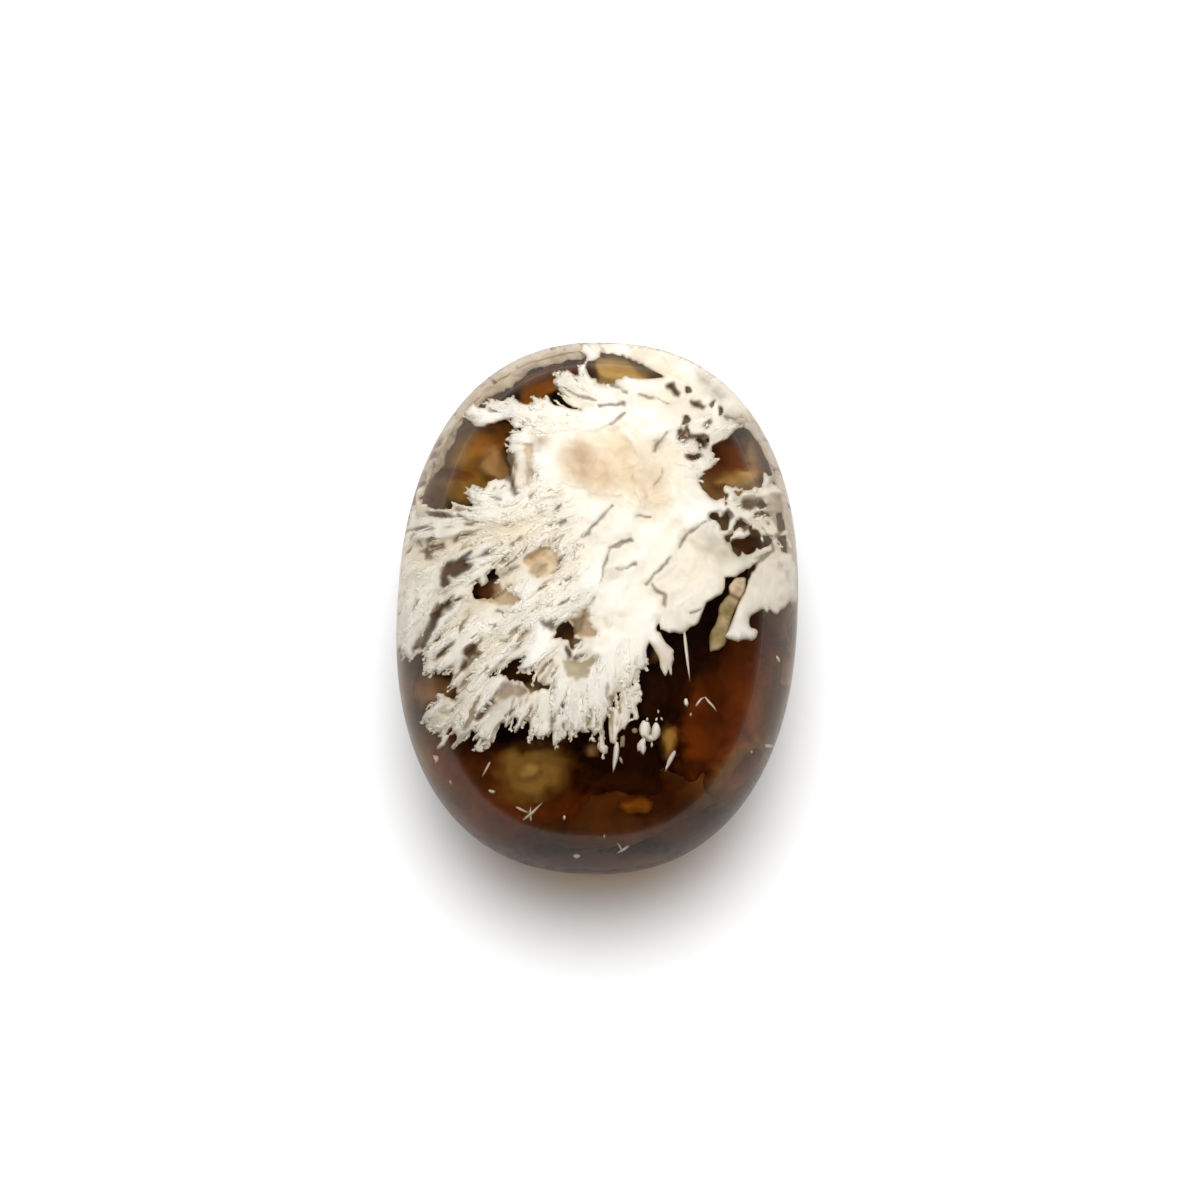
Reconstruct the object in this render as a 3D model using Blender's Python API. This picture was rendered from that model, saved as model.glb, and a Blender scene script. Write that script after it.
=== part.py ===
"""Polished oval pebble of moss agate, one natural piece.

The pebble lies on a small flat spot. X is its width, Y its length and Z is up, with the origin
at the middle of the flat. Its outline is a slightly squared oval, and so is its section: a high
dome above the girdle, which is the widest line around it, and a shallower belly below.
"""

import math

import bmesh
import bpy
from mathutils import Vector

# Driving dimensions, in metres.
WIDTH = 0.030
LENGTH = 0.042
HEIGHT = 0.0185
GIRDLE_HEIGHT = 0.008  # from the flat up to the widest outline
BELLY_DEPTH = 0.0085  # how far below the girdle the belly would reach without its flat

# An exponent of 2 gives a true ellipse, and a larger one a squarer shape.
OUTLINE_SQUARENESS = 2.32
SECTION_SQUARENESS = 2.15

# A stone shaped by hand is never quite true: its surface strays by about this share of a radius.
UNEVENNESS = 0.004

# Facets of the solid.
SEGMENTS = 84
RINGS = 34

AGATE_COLOUR = (0.23, 0.12, 0.06, 1.0)
AGATE_ROUGHNESS = 0.08


def clear_scene():
    for old in list(bpy.data.objects):
        bpy.data.objects.remove(old)


def unevenness(way):
    """A smooth, lopsided swelling between about -1 and 1 over the unit directions."""
    return 0.8 * way.x * way.y + 0.7 * way.y * (way.y * way.y - 0.6) + 0.6 * way.x * way.z


def surface_point(way):
    """The point of the pebble's surface in one unit direction from the girdle's centre."""
    half_height = HEIGHT - GIRDLE_HEIGHT if way.z > 0 else BELLY_DEPTH
    across = abs(way.x / (WIDTH / 2)) ** OUTLINE_SQUARENESS
    along = abs(way.y / (LENGTH / 2)) ** OUTLINE_SQUARENESS
    level = (across + along) ** (SECTION_SQUARENESS / OUTLINE_SQUARENESS)
    upright = abs(way.z / half_height) ** SECTION_SQUARENESS
    reach = (level + upright) ** (-1 / SECTION_SQUARENESS)
    return way * reach * (1 + UNEVENNESS * unevenness(way)) + Vector((0, 0, GIRDLE_HEIGHT))


def ring_of_points(tilt):
    """One ring around the pebble, at an angle above the girdle as seen from the girdle's centre."""
    points = []
    for step in range(SEGMENTS):
        turn = 2 * math.pi * step / SEGMENTS
        level = Vector((WIDTH / 2 * math.cos(turn), LENGTH / 2 * math.sin(turn), 0)) * math.cos(tilt)
        rise = (HEIGHT - GIRDLE_HEIGHT) * math.sin(tilt)
        points.append(surface_point((level + Vector((0, 0, rise))).normalized()))
    return points


def whole_pebble():
    """Closed mesh before the flat is ground: rings from the belly to the dome, and two end points."""
    bm = bmesh.new()
    tilts = [math.pi * ((ring + 1) / (RINGS + 1) - 0.5) for ring in range(RINGS)]
    loops = [[bm.verts.new(point) for point in ring_of_points(tilt)] for tilt in tilts]
    bottom = bm.verts.new(surface_point(Vector((0, 0, -1))))
    top = bm.verts.new(surface_point(Vector((0, 0, 1))))
    for i in range(SEGMENTS):
        j = (i + 1) % SEGMENTS
        bm.faces.new((bottom, loops[0][j], loops[0][i]))
        for lower, upper in zip(loops, loops[1:]):
            bm.faces.new((lower[i], lower[j], upper[j], upper[i]))
        bm.faces.new((loops[-1][i], loops[-1][j], top))
    return bm


def grind_flat(bm):
    """Cut the belly off at the flat's height and close it with one level face."""
    geometry = bm.verts[:] + bm.edges[:] + bm.faces[:]
    down = (0, 0, -1)
    bmesh.ops.bisect_plane(bm, geom=geometry, plane_co=(0, 0, 0), plane_no=down, clear_outer=True)
    rim = [edge for edge in bm.edges if edge.is_boundary]
    bmesh.ops.contextual_create(bm, geom=rim)
    bmesh.ops.recalc_face_normals(bm, faces=bm.faces[:])


def centre_over_origin(bm):
    """Move the pebble sideways, so that its bounding box is centred on the origin."""
    for axis in (0, 1):
        spread = [vert.co[axis] for vert in bm.verts]
        middle = (min(spread) + max(spread)) / 2
        for vert in bm.verts:
            vert.co[axis] -= middle


def pebble_mesh():
    bm = whole_pebble()
    grind_flat(bm)
    centre_over_origin(bm)
    mesh = bpy.data.meshes.new("moss_agate")
    bm.to_mesh(mesh)
    bm.free()
    mesh.shade_smooth()
    return mesh


def agate_material():
    material = bpy.data.materials.new("polished_agate")
    material.use_nodes = True
    shader = material.node_tree.nodes["Principled BSDF"]
    shader.inputs["Base Color"].default_value = AGATE_COLOUR
    shader.inputs["Roughness"].default_value = AGATE_ROUGHNESS
    shader.inputs["Metallic"].default_value = 0.0
    return material


def build():
    clear_scene()
    mesh = pebble_mesh()
    mesh.materials.append(agate_material())
    pebble = bpy.data.objects.new("moss_agate", mesh)
    bpy.context.scene.collection.objects.link(pebble)


build()
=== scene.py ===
"""Looks of the moss agate pebble: a clear brown body with the plumes and clouds sealed in it."""

import math

import bmesh
import bpy
import numpy as np
from mathutils import Matrix, Vector


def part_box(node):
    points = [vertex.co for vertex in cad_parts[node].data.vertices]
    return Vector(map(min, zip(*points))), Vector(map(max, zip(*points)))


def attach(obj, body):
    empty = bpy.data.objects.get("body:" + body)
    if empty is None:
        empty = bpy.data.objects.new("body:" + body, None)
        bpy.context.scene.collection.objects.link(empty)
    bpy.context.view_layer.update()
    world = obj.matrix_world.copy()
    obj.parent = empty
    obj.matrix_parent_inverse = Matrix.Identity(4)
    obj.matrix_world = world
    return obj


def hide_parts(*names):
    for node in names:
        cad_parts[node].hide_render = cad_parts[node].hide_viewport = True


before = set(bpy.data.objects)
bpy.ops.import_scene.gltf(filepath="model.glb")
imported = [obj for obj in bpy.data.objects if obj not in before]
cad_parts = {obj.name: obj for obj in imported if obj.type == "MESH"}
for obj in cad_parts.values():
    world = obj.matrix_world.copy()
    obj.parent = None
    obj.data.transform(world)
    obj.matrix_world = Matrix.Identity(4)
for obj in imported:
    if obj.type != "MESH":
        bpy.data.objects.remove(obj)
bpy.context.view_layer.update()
MM = 0.001
LOW, HIGH = (np.array(corner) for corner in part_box("moss_agate"))

# The body's shape, as in the solid, from the frame's size and a few proportions.
WIDTH, LENGTH, HEIGHT = HIGH - LOW
GIRDLE_HEIGHT = 8.0 * MM
BELLY_DEPTH = 8.5 * MM
FLAT_BLEND = 0.06 * MM
GIRDLE_CENTRE = np.array([0, 0, GIRDLE_HEIGHT])
OUTLINE_SQUARENESS = 2.32
SECTION_SQUARENESS = 2.15
UNEVENNESS = 0.004
# The clear stone, and how strongly it takes out red, green and blue light on each metre.
REFRACTIVE_INDEX = 1.54
ABSORPTION = (50, 104, 220)
POLISH_ROUGHNESS = 0.02
# How far under the polish all sealed things stay, and how high above the flat.
SKIN = 0.14 * MM
LOWEST = 0.5 * MM

# The camera, and the photograph's frame in its own pixels.
PHOTO_SIZE = 1200
SENSOR = 36.0
LENS = 120.0
CAMERA_DISTANCE = 300 * MM
CAMERA_ELEVATION = math.radians(68.0)
CAMERA_AZIMUTH = math.radians(2.515)
GIRDLE_IN_PHOTO = (597.7, 604.3)
FOCAL_PIXELS = LENS / SENSOR * PHOTO_SIZE
PIXELS_PER_METRE = FOCAL_PIXELS / CAMERA_DISTANCE

# The plumes' outlines and gaps, read from the photograph, in its pixels.
PLUME_EDGE = (
    (470, 408), (474, 402), (476, 408), (486, 409), (488, 401), (492, 400), (496, 404), (503, 402),
    (508, 397), (514, 395), (517, 400), (524, 404), (533, 402), (532, 389), (536, 398), (543, 399),
    (546, 395), (550, 399), (554, 405), (562, 405), (570, 408), (582, 411), (583, 409), (572, 406),
    (566, 401), (560, 396), (557, 389), (554, 382), (556, 376), (561, 372), (568, 371), (576, 374),
    (579, 370), (584, 363), (587, 357), (580, 351), (585, 338), (600, 330), (650, 330), (700, 345),
    (745, 375), (785, 430), (810, 500), (815, 600), (792, 600), (786, 607), (780, 610), (777, 614),
    (773, 612), (770, 609), (767, 613), (763, 608), (759, 611), (755, 614), (750, 618), (749, 622),
    (751, 627), (755, 628), (758, 632), (756, 638), (752, 641), (743, 640), (738, 642), (730, 640),
    (725, 636), (730, 628), (733, 618), (737, 607), (741, 600), (745, 592), (748, 583), (752, 572),
    (757, 564), (745, 570), (735, 577), (726, 578), (725, 588), (722, 594), (712, 599), (706, 603),
    (704, 610), (702, 617), (699, 624), (690, 627), (686, 632), (678, 633), (670, 633), (660, 630),
    (658, 621), (656, 630), (664, 638), (668, 648), (673, 655), (674, 660), (672, 668), (671, 676),
    (668, 668), (664, 662), (662, 655), (655, 648), (650, 643), (646, 650), (645, 658), (648, 664),
    (640, 672), (635, 679), (628, 686), (622, 692), (616, 697), (612, 708), (608, 716), (604, 724),
    (603, 740), (609, 747), (608, 754), (602, 755), (599, 745), (598, 735), (592, 738), (590, 731),
    (580, 731), (572, 733), (570, 739), (568, 727), (565, 738), (560, 740), (554, 746), (553, 735),
    (555, 716), (550, 735), (545, 732), (540, 737), (532, 733), (529, 740), (527, 725), (524, 719),
    (515, 731), (520, 720), (512, 718), (508, 727), (504, 728), (503, 722), (497, 726), (493, 735),
    (490, 745), (486, 749), (484, 741), (476, 750), (480, 738), (473, 739), (479, 730), (470, 733),
    (463, 738), (457, 743), (451, 755), (455, 738), (450, 724), (446, 747), (437, 747), (442, 733),
    (434, 730), (425, 727), (423, 718), (424, 711), (428, 708), (436, 704), (437, 694), (447, 693),
    (452, 700), (458, 696), (455, 690), (449, 685), (451, 678), (450, 669), (444, 669), (439, 671),
    (434, 668), (430, 672), (427, 675), (424, 672), (427, 658), (424, 650), (428, 641), (436, 639),
    (438, 633), (444, 627), (444, 619), (452, 611), (460, 606), (468, 602), (460, 602), (452, 606),
    (438, 609), (433, 613), (430, 620), (427, 631), (423, 637), (420, 641), (418, 648), (414, 655),
    (411, 661), (406, 655), (400, 646), (386, 630), (384, 580), (392, 520), (404, 505), (416, 506),
    (428, 508), (440, 511), (452, 509), (452, 503), (465, 505), (478, 504), (468, 497), (469, 491),
    (472, 485), (478, 486), (483, 490), (487, 487), (488, 482), (497, 478), (505, 480), (511, 470),
    (507, 457), (508, 448), (511, 436), (521, 430), (526, 421), (514, 431), (512, 418), (503, 419),
    (490, 425), (485, 428), (473, 427), (469, 420), (465, 414),
)
# Their lowest tuft, right of the middle.
FROND_EDGE = (
    (644, 680), (638, 683), (630, 689), (622, 694), (617, 699), (614, 707), (610, 714), (608, 722),
    (608, 734), (610, 742), (616, 745), (617, 736), (618, 732), (624, 729), (628, 722), (630, 713),
    (633, 713), (638, 717), (637, 711), (635, 704), (639, 702), (640, 697), (643, 690),
)
# The broad blade that hangs off the plumes at the right.
CLAW = (
    (646, 640), (652, 634), (660, 631), (667, 642), (674, 651), (671, 663), (665, 677), (660, 668),
    (657, 657), (652, 648),
)
# Stained tissue that fills most of the inlet at the left.
CHANNEL = (
    (466, 596), (462, 606), (452, 618), (444, 632), (436, 646), (426, 656), (412, 656), (414, 640),
    (418, 622), (430, 604), (448, 594),
)
# Clearings that lie wholly inside the plumes' outline.
GAPS = {
    "ochre_lens": (
        (587, 362), (593, 360), (600, 358), (602, 355), (610, 354), (622, 356), (632, 359), (642, 364),
        (650, 370), (658, 374), (664, 377), (655, 378), (640, 378), (625, 377), (619, 379), (612, 383),
        (604, 385), (598, 382), (596, 379), (591, 378), (587, 373), (586, 367),
    ),
    "upper_right": (
        (713, 447), (718, 443), (728, 440), (731, 436), (737, 430), (739, 424), (746, 430), (752, 436),
        (760, 444), (766, 455), (772, 463), (775, 470), (770, 476), (764, 472), (762, 480), (763, 488),
        (755, 490), (745, 490), (742, 492), (738, 498), (736, 494), (731, 486), (726, 484), (722, 486),
        (724, 492), (726, 498), (716, 500), (708, 495), (702, 488), (700, 482), (698, 478), (704, 472),
        (712, 468), (716, 462), (714, 453),
    ),
    "red_hole": (
        (731, 542), (736, 540), (744, 539), (750, 534), (753, 528), (759, 530), (761, 540), (763, 545),
        (757, 548), (752, 553), (745, 555), (741, 550), (736, 551), (732, 548),
    ),
    "brown_gap": (
        (489, 573), (495, 570), (496, 577), (500, 583), (498, 590), (496, 596), (489, 600), (480, 600),
        (474, 597), (471, 593), (474, 589), (477, 583), (480, 586), (486, 586), (488, 581),
    ),
    "dark_red_gap": (
        (488, 676), (494, 671), (500, 667), (506, 662), (512, 658), (520, 656), (527, 652), (523, 658),
        (520, 664), (516, 668), (522, 672), (530, 670), (534, 676), (536, 682), (542, 684), (550, 688),
        (540, 690), (532, 691), (526, 686), (524, 680), (516, 678), (508, 680), (500, 673), (494, 675),
    ),
    "brown_bite": (
        (558, 625), (562, 621), (568, 620), (571, 624), (574, 628), (576, 634), (574, 640), (581, 642),
        (580, 647), (572, 648), (567, 641), (560, 638), (554, 638), (555, 634),
    ),
}

# Places where the plumes are stained: colour, strength, dip in millimetres, and the outline.
STAINS = (
    ("brown", 0.95, 0.35, (
        (465, 597), (453, 604), (445, 612), (438, 624), (432, 638), (424, 651), (416, 649), (423, 634),
        (429, 620), (437, 607), (450, 598),
    )),
    ("cream", 0.9, 0.05, ((640, 352), (655, 350), (672, 360), (682, 379), (664, 379), (650, 370))),
    ("brown", 0.9, 0.3, ((428, 513), (443, 512), (453, 514), (452, 518), (444, 520), (428, 518))),
    ("olive", 0.5, 0.2, ((413, 506), (427, 508), (428, 516), (424, 521), (415, 520))),
    ("brown", 0.5, 0.2, ((430, 524), (425, 531), (418, 531), (419, 528), (425, 526))),
    ("olive", 0.7, 0.2, ((457, 537), (462, 532), (475, 532), (482, 534), (475, 536), (458, 540))),
    ("brown", 0.8, 0.3, (
        (431, 547), (438, 545), (445, 543), (445, 548), (438, 549), (434, 553), (432, 560), (426, 560),
        (425, 553), (428, 548), (426, 543), (429, 538), (433, 536), (430, 544),
    )),
    ("brown", 0.5, 0.2, ((416, 541), (421, 541), (421, 547), (416, 547))),
    ("brown", 0.95, 0.35, (
        (449, 563), (457, 559), (463, 555), (469, 551), (472, 550), (470, 554), (464, 559), (475, 557),
        (482, 554), (488, 551), (490, 553), (486, 556), (478, 558), (470, 560), (466, 562), (469, 565),
        (474, 567), (466, 570), (460, 574), (455, 577), (449, 577), (449, 584), (448, 589), (442, 588),
        (441, 580), (441, 572), (442, 567),
    )),
    ("brown", 0.5, 0.2, ((441, 590), (449, 589), (449, 594), (443, 598), (440, 594))),
    ("tan", 0.9, 0.3, (
        (494, 590), (498, 586), (503, 592), (513, 595), (521, 597), (521, 603), (512, 606), (500, 606),
        (488, 603), (480, 600), (490, 598),
    )),
    ("brown", 0.7, 0.2, (
        (500, 574), (506, 570), (504, 566), (508, 563), (511, 567), (517, 565), (520, 566), (514, 570),
        (508, 574), (502, 578),
    )),
    ("peach", 0.95, 0.3, (
        (524, 562), (528, 557), (534, 554), (540, 549), (546, 547), (550, 549), (557, 551), (559, 558),
        (559, 568), (552, 574), (545, 578), (536, 577), (531, 574), (532, 568), (526, 566),
    )),
    ("tan", 0.8, 0.0, ((531, 558), (541, 552), (548, 548), (546, 553), (539, 560))),
    ("brown", 0.6, 0.1, ((533, 571), (541, 566), (543, 570), (537, 576), (533, 576))),
    ("brown", 0.8, 0.2, ((558, 556), (562, 556), (561, 568), (555, 574), (552, 573), (557, 567))),
    ("olive", 0.6, 0.2, ((479, 622), (485, 625), (492, 626), (499, 622), (497, 627), (480, 628))),
    ("olive", 0.5, 0.2, ((473, 634), (479, 636), (481, 641), (473, 642), (471, 638))),
    ("brown", 0.95, 0.35, (
        (464, 649), (468, 645), (474, 645), (478, 650), (481, 655), (474, 658), (470, 663), (466, 668),
        (458, 672), (462, 664), (466, 657), (465, 653),
    )),
    ("olive", 0.45, 0.2, ((517, 634), (523, 630), (530, 631), (527, 636), (520, 641), (516, 640))),
    ("brown", 0.8, 0.3, ((540, 619), (545, 622), (556, 622), (556, 627), (552, 631), (541, 625))),
    ("tan", 0.95, 0.3, (
        (568, 620), (576, 618), (584, 610), (588, 615), (590, 622), (596, 630), (598, 636), (588, 638),
        (580, 638), (576, 634), (572, 627),
    )),
    ("brown", 0.6, 0.2, ((572, 620), (580, 617), (584, 613), (586, 620), (582, 630), (576, 632))),
    ("brown", 0.9, 0.3, ((567, 650), (571, 651), (571, 658), (568, 658))),
    ("brown", 0.9, 0.3, ((572, 658), (578, 655), (585, 655), (580, 660), (574, 661))),
    ("olive", 0.7, 0.25, (
        (561, 660), (568, 660), (576, 661), (590, 657), (598, 656), (594, 663), (588, 668), (590, 674),
        (584, 678), (576, 681), (568, 677), (564, 668),
    )),
    ("brown", 0.7, 0.25, (
        (503, 684), (510, 681), (520, 684), (526, 688), (532, 694), (520, 696), (506, 698), (498, 700),
        (496, 694), (500, 688),
    )),
    ("tan", 0.7, 0.0, ((512, 684), (524, 687), (526, 694), (514, 694), (488, 712), (486, 700))),
    ("olive", 0.6, 0.2, ((556, 665), (550, 676), (544, 684), (539, 681), (546, 672), (552, 664))),
    ("brown", 0.8, 0.3, ((449, 687), (455, 692), (460, 695), (456, 702), (451, 699), (447, 693))),
    ("brown", 0.85, 0.3, (
        (497, 701), (492, 706), (486, 712), (480, 719), (473, 720), (478, 714), (484, 707), (488, 702),
    )),
    ("olive", 0.8, 0.3, (
        (613, 696), (608, 698), (610, 706), (606, 716), (602, 726), (601, 738), (606, 745), (609, 734),
        (610, 722), (614, 712), (617, 703),
    )),
    ("olive", 0.7, 0.2, ((590, 709), (593, 718), (590, 727), (583, 722), (586, 716))),
    ("olive", 0.7, 0.2, ((596, 721), (601, 722), (601, 729), (596, 728))),
    ("olive", 0.4, 0.2, ((430, 707), (437, 708), (442, 714), (450, 716), (444, 711))),
    ("brown", 0.5, 0.2, ((453, 723), (446, 731), (437, 735), (445, 727))),
    ("brown", 0.85, 0.2, (
        (508, 450), (514, 454), (514, 466), (515, 480), (519, 496), (515, 498), (508, 483), (502, 474),
        (504, 462),
    )),
    ("tan", 0.8, 0.2, ((524, 444), (532, 444), (533, 458), (531, 471), (529, 486), (525, 484))),
    ("brown", 0.7, 0.2, ((529, 468), (533, 469), (538, 476), (532, 477))),
    ("peach", 0.75, 0.05, (
        (563, 447), (578, 440), (592, 444), (598, 454), (608, 464), (616, 474), (618, 488), (604, 490),
        (588, 487), (568, 482), (560, 465),
    )),
    ("tan", 0.55, 0.05, ((576, 448), (584, 445), (590, 452), (589, 470), (586, 483), (578, 482))),
    ("tan", 0.6, 0.05, ((588, 489), (600, 491), (612, 492), (618, 496), (600, 498), (589, 497))),
    ("tan", 0.75, 0.1, ((532, 432), (545, 432), (549, 438), (546, 447), (538, 449), (533, 441))),
    ("peach", 0.45, 0.1, ((600, 436), (636, 440), (660, 470), (668, 504), (640, 506), (620, 480))),
    ("peach", 0.6, 0.05, ((640, 490), (660, 494), (672, 500), (665, 512), (648, 508))),
    ("brown", 0.85, 0.3, ((667, 386), (674, 385), (678, 390), (681, 396), (675, 394))),
    ("brown", 0.85, 0.3, ((692, 403), (698, 402), (705, 406), (703, 409), (696, 407))),
    ("brown", 0.65, 0.3, ((704, 424), (709, 421), (712, 423), (708, 427), (704, 428))),
    ("olive", 0.4, 0.2, ((684, 417), (690, 416), (689, 421), (684, 421))),
    ("brown", 0.8, 0.3, (
        (680, 431), (685, 430), (688, 434), (704, 434), (706, 438), (690, 438), (684, 442), (678, 437),
    )),
    ("brown", 0.9, 0.3, ((702, 446), (701, 442), (706, 440), (709, 444), (704, 449))),
    ("brown", 0.95, 0.35, ((684, 456), (692, 453), (701, 455), (697, 462), (690, 460))),
    ("olive", 0.35, 0.15, ((654, 441), (664, 436), (668, 432), (662, 446), (655, 450))),
    ("brown", 0.9, 0.35, (
        (742, 500), (750, 498), (763, 499), (766, 506), (762, 510), (757, 508), (752, 512), (746, 512),
        (741, 508),
    )),
    ("veil", 0.8, 0.2, ((765, 500), (775, 492), (784, 495), (786, 515), (780, 530), (764, 512))),
    ("brown", 0.9, 0.35, ((723, 518), (728, 509), (733, 512), (734, 517), (730, 520), (724, 520))),
    ("brown", 0.9, 0.35, ((740, 519), (745, 521), (750, 528), (744, 532), (740, 527))),
    ("olive", 0.5, 0.2, ((720, 527), (728, 529), (736, 528), (732, 534), (724, 532))),
    ("olive", 0.4, 0.1, ((708, 535), (730, 545), (742, 560), (722, 562), (706, 550))),
    ("olive", 0.4, 0.2, ((778, 564), (783, 565), (781, 573), (778, 571))),
    ("olive", 0.4, 0.2, ((784, 570), (790, 570), (789, 582), (785, 580))),
    ("veil", 0.9, 0.1, ((698, 374), (712, 380), (726, 397), (722, 402), (713, 396), (704, 385))),
    ("veil", 0.7, 0.1, ((727, 414), (742, 415), (756, 424), (745, 421), (729, 420))),
    # These last two veils, along the right rim, are painted shade.
    ("veil", 0.8, 0.12, (
        (736, 420), (744, 432), (752, 442), (758, 452), (766, 466), (773, 484), (800, 490), (795, 450),
        (770, 415), (750, 410),
    )),
    ("veil", 0.6, 0.12, ((780, 478), (786, 500), (792, 530), (795, 560), (812, 560), (808, 480))),
)

# Cracks and slits in the plumes: the lines of each width, in the photograph's pixels.
CRACKS = {
    6: (
        ((428, 514), (452, 517)), ((611, 547), (620, 547), (632, 541)),
    ),
    5: (
        ((701, 441), (707, 447)),
    ),
    4: (
        ((557, 387), (570, 389), (583, 396), (598, 400)), ((671, 386), (679, 395)),
        ((692, 402), (704, 408)), ((685, 437), (706, 435)), ((727, 418), (750, 415)),
        ((444, 545), (432, 548), (427, 552), (428, 560)),
        ((565, 520), (557, 524), (554, 532), (545, 546), (532, 558)), ((575, 545), (584, 545)),
        ((446, 633), (458, 627), (468, 614)), ((480, 624), (490, 628), (497, 626)),
        ((515, 632), (518, 638), (527, 633)), ((485, 712), (476, 719)),
        ((764, 528), (767, 535), (771, 545), (772, 552), (765, 557), (757, 564), (750, 575)),
        ((566, 650), (571, 657)), ((566, 547), (563, 558), (557, 570)), ((545, 566), (537, 574)),
        ((437, 607), (447, 603), (462, 600)),
    ),
    3: (
        ((600, 406), (610, 404), (622, 403)), ((613, 385), (620, 391), (624, 393)),
        ((704, 426), (711, 421)), ((681, 430), (679, 436), (684, 444)),
        ((686, 455), (694, 461), (700, 453)), ((490, 495), (502, 499)), ((490, 491), (496, 488)),
        ((460, 514), (468, 521)), ((457, 539), (465, 533), (483, 534)), ((434, 536), (427, 549)),
        ((417, 541), (420, 546)), ((432, 522), (418, 532), (405, 545)), ((513, 546), (522, 538)),
        ((549, 491), (556, 492)), ((612, 507), (600, 521), (590, 531), (583, 536)),
        ((563, 535), (556, 548)), ((577, 549), (573, 560)), ((611, 549), (605, 568), (600, 581)),
        ((616, 568), (635, 566)), ((710, 520), (700, 526), (690, 533), (682, 541), (679, 548)),
        ((672, 556), (663, 568), (652, 580), (646, 583)),
        ((652, 584), (657, 590), (664, 595), (665, 605)), ((417, 600), (413, 612), (409, 620)),
        ((472, 638), (480, 637)), ((595, 598), (590, 603), (584, 609)), ((571, 577), (565, 588)),
        ((577, 593), (565, 602)), ((591, 709), (588, 725)), ((555, 716), (552, 734)),
        ((783, 522), (778, 533), (770, 540)), ((528, 557), (538, 549), (545, 540)),
        ((560, 503), (553, 515), (547, 528)), ((556, 540), (548, 549)),
        ((490, 553), (502, 545), (510, 537)), ((492, 566), (500, 560), (512, 554)),
        ((447, 641), (443, 650), (434, 658)), ((503, 641), (513, 634), (522, 622)),
        ((530, 612), (540, 608), (552, 604)), ((486, 668), (476, 680), (462, 690)),
        ((524, 700), (516, 708), (508, 716)), ((541, 700), (536, 712), (529, 722)),
        ((571, 690), (566, 702), (562, 716)), ((495, 610), (506, 613), (514, 610)),
        ((574, 659), (585, 655)),
    ),
    2: (
        ((637, 395), (655, 400), (670, 402)), ((622, 412), (615, 420), (609, 426)),
        ((668, 432), (660, 440), (656, 450)), ((664, 468), (661, 478), (656, 486)),
        ((637, 516), (650, 516)), ((690, 613), (701, 611)),
    ),
}

# Thin tissue along the rim, at the upper left and at the left.
VEILS = (
    (
        (585, 357), (560, 363), (545, 367), (530, 372), (516, 383), (505, 391), (490, 398), (480, 408),
        (470, 415), (462, 425), (455, 440), (448, 455), (440, 468), (431, 480), (414, 486), (412, 460),
        (440, 400), (480, 352), (530, 332), (592, 332),
    ),
    ((396, 520), (404, 512), (412, 500), (420, 486), (414, 480), (400, 500)),
)
# The olive prism, and the crack across it.
STICK = (
    (728, 594), (720, 604), (718, 615), (715, 625), (711, 631), (709, 641), (710, 652), (718, 651),
    (725, 645), (728, 634), (731, 620), (736, 608), (741, 598), (746, 590), (746, 578), (736, 577),
    (729, 586),
)
STICK_LINE = ((727, 593), (733, 596), (739, 599))

# Raised veins in the cream window: the lines of each width.
RIDGES = {
    4: (
        ((643, 421), (632, 425), (625, 432)), ((590, 492), (615, 493), (632, 503)),
        ((530, 430), (560, 428), (600, 427), (620, 424)),
    ),
    3: (
        ((627, 436), (637, 452), (640, 470)), ((636, 490), (645, 508)), ((648, 500), (670, 505)),
        ((511, 452), (517, 497)), ((527, 455), (527, 483)), ((562, 483), (587, 488), (592, 496)),
    ),
}

# The way the plumes grow: place in the photograph, angle clockwise from right, and streakiness.
GROWTH = (
    (470, 412, 188, 0.9), (520, 408, 200, 0.8), (575, 380, 225, 0.8), (600, 410, 190, 0.4),
    (650, 395, 330, 0.3), (700, 410, 320, 0.4), (690, 450, 350, 0.5), (600, 460, 180, 0.1),
    (520, 440, 190, 0.6), (518, 475, 95, 0.8), (470, 500, 200, 0.9), (430, 530, 175, 1.0),
    (490, 520, 185, 0.8), (560, 510, 160, 0.5), (450, 560, 150, 1.0), (410, 590, 115, 1.0),
    (420, 630, 110, 1.0), (480, 580, 145, 1.0), (530, 545, 135, 0.9), (560, 590, 140, 0.8),
    (620, 540, 120, 0.2), (640, 480, 110, 0.1), (620, 600, 125, 0.3), (680, 590, 150, 0.2),
    (720, 540, 20, 0.4), (770, 500, 330, 0.5), (770, 580, 80, 0.3), (740, 625, 95, 0.3),
    (450, 650, 140, 1.0), (500, 640, 145, 1.0), (550, 640, 140, 0.8), (600, 640, 120, 0.4),
    (440, 715, 140, 1.0), (480, 710, 120, 1.0), (520, 700, 110, 0.9), (560, 715, 95, 0.9),
    (600, 700, 90, 0.7), (625, 710, 80, 0.7), (665, 655, 60, 0.4),
)

# Smooth cream tissue in the middle, threads like coral at the right, and specks at the upper right.
CREAM_WINDOW = (
    (540, 436), (560, 431), (600, 430), (622, 428), (632, 437), (637, 452), (636, 470), (640, 490),
    (645, 506), (632, 503), (618, 496), (592, 495), (587, 487), (564, 481), (555, 470), (547, 452),
)

CORAL_EDGE = (
    (712, 500), (728, 488), (752, 494), (772, 474), (800, 470), (806, 520), (800, 560), (775, 562),
    (755, 566), (735, 560), (722, 540), (706, 530), (700, 514),
)
SPECKLED_EDGE = (
    (672, 380), (700, 384), (722, 400), (738, 420), (722, 444), (708, 462), (690, 470), (676, 452),
    (672, 430), (682, 410),
)

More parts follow.
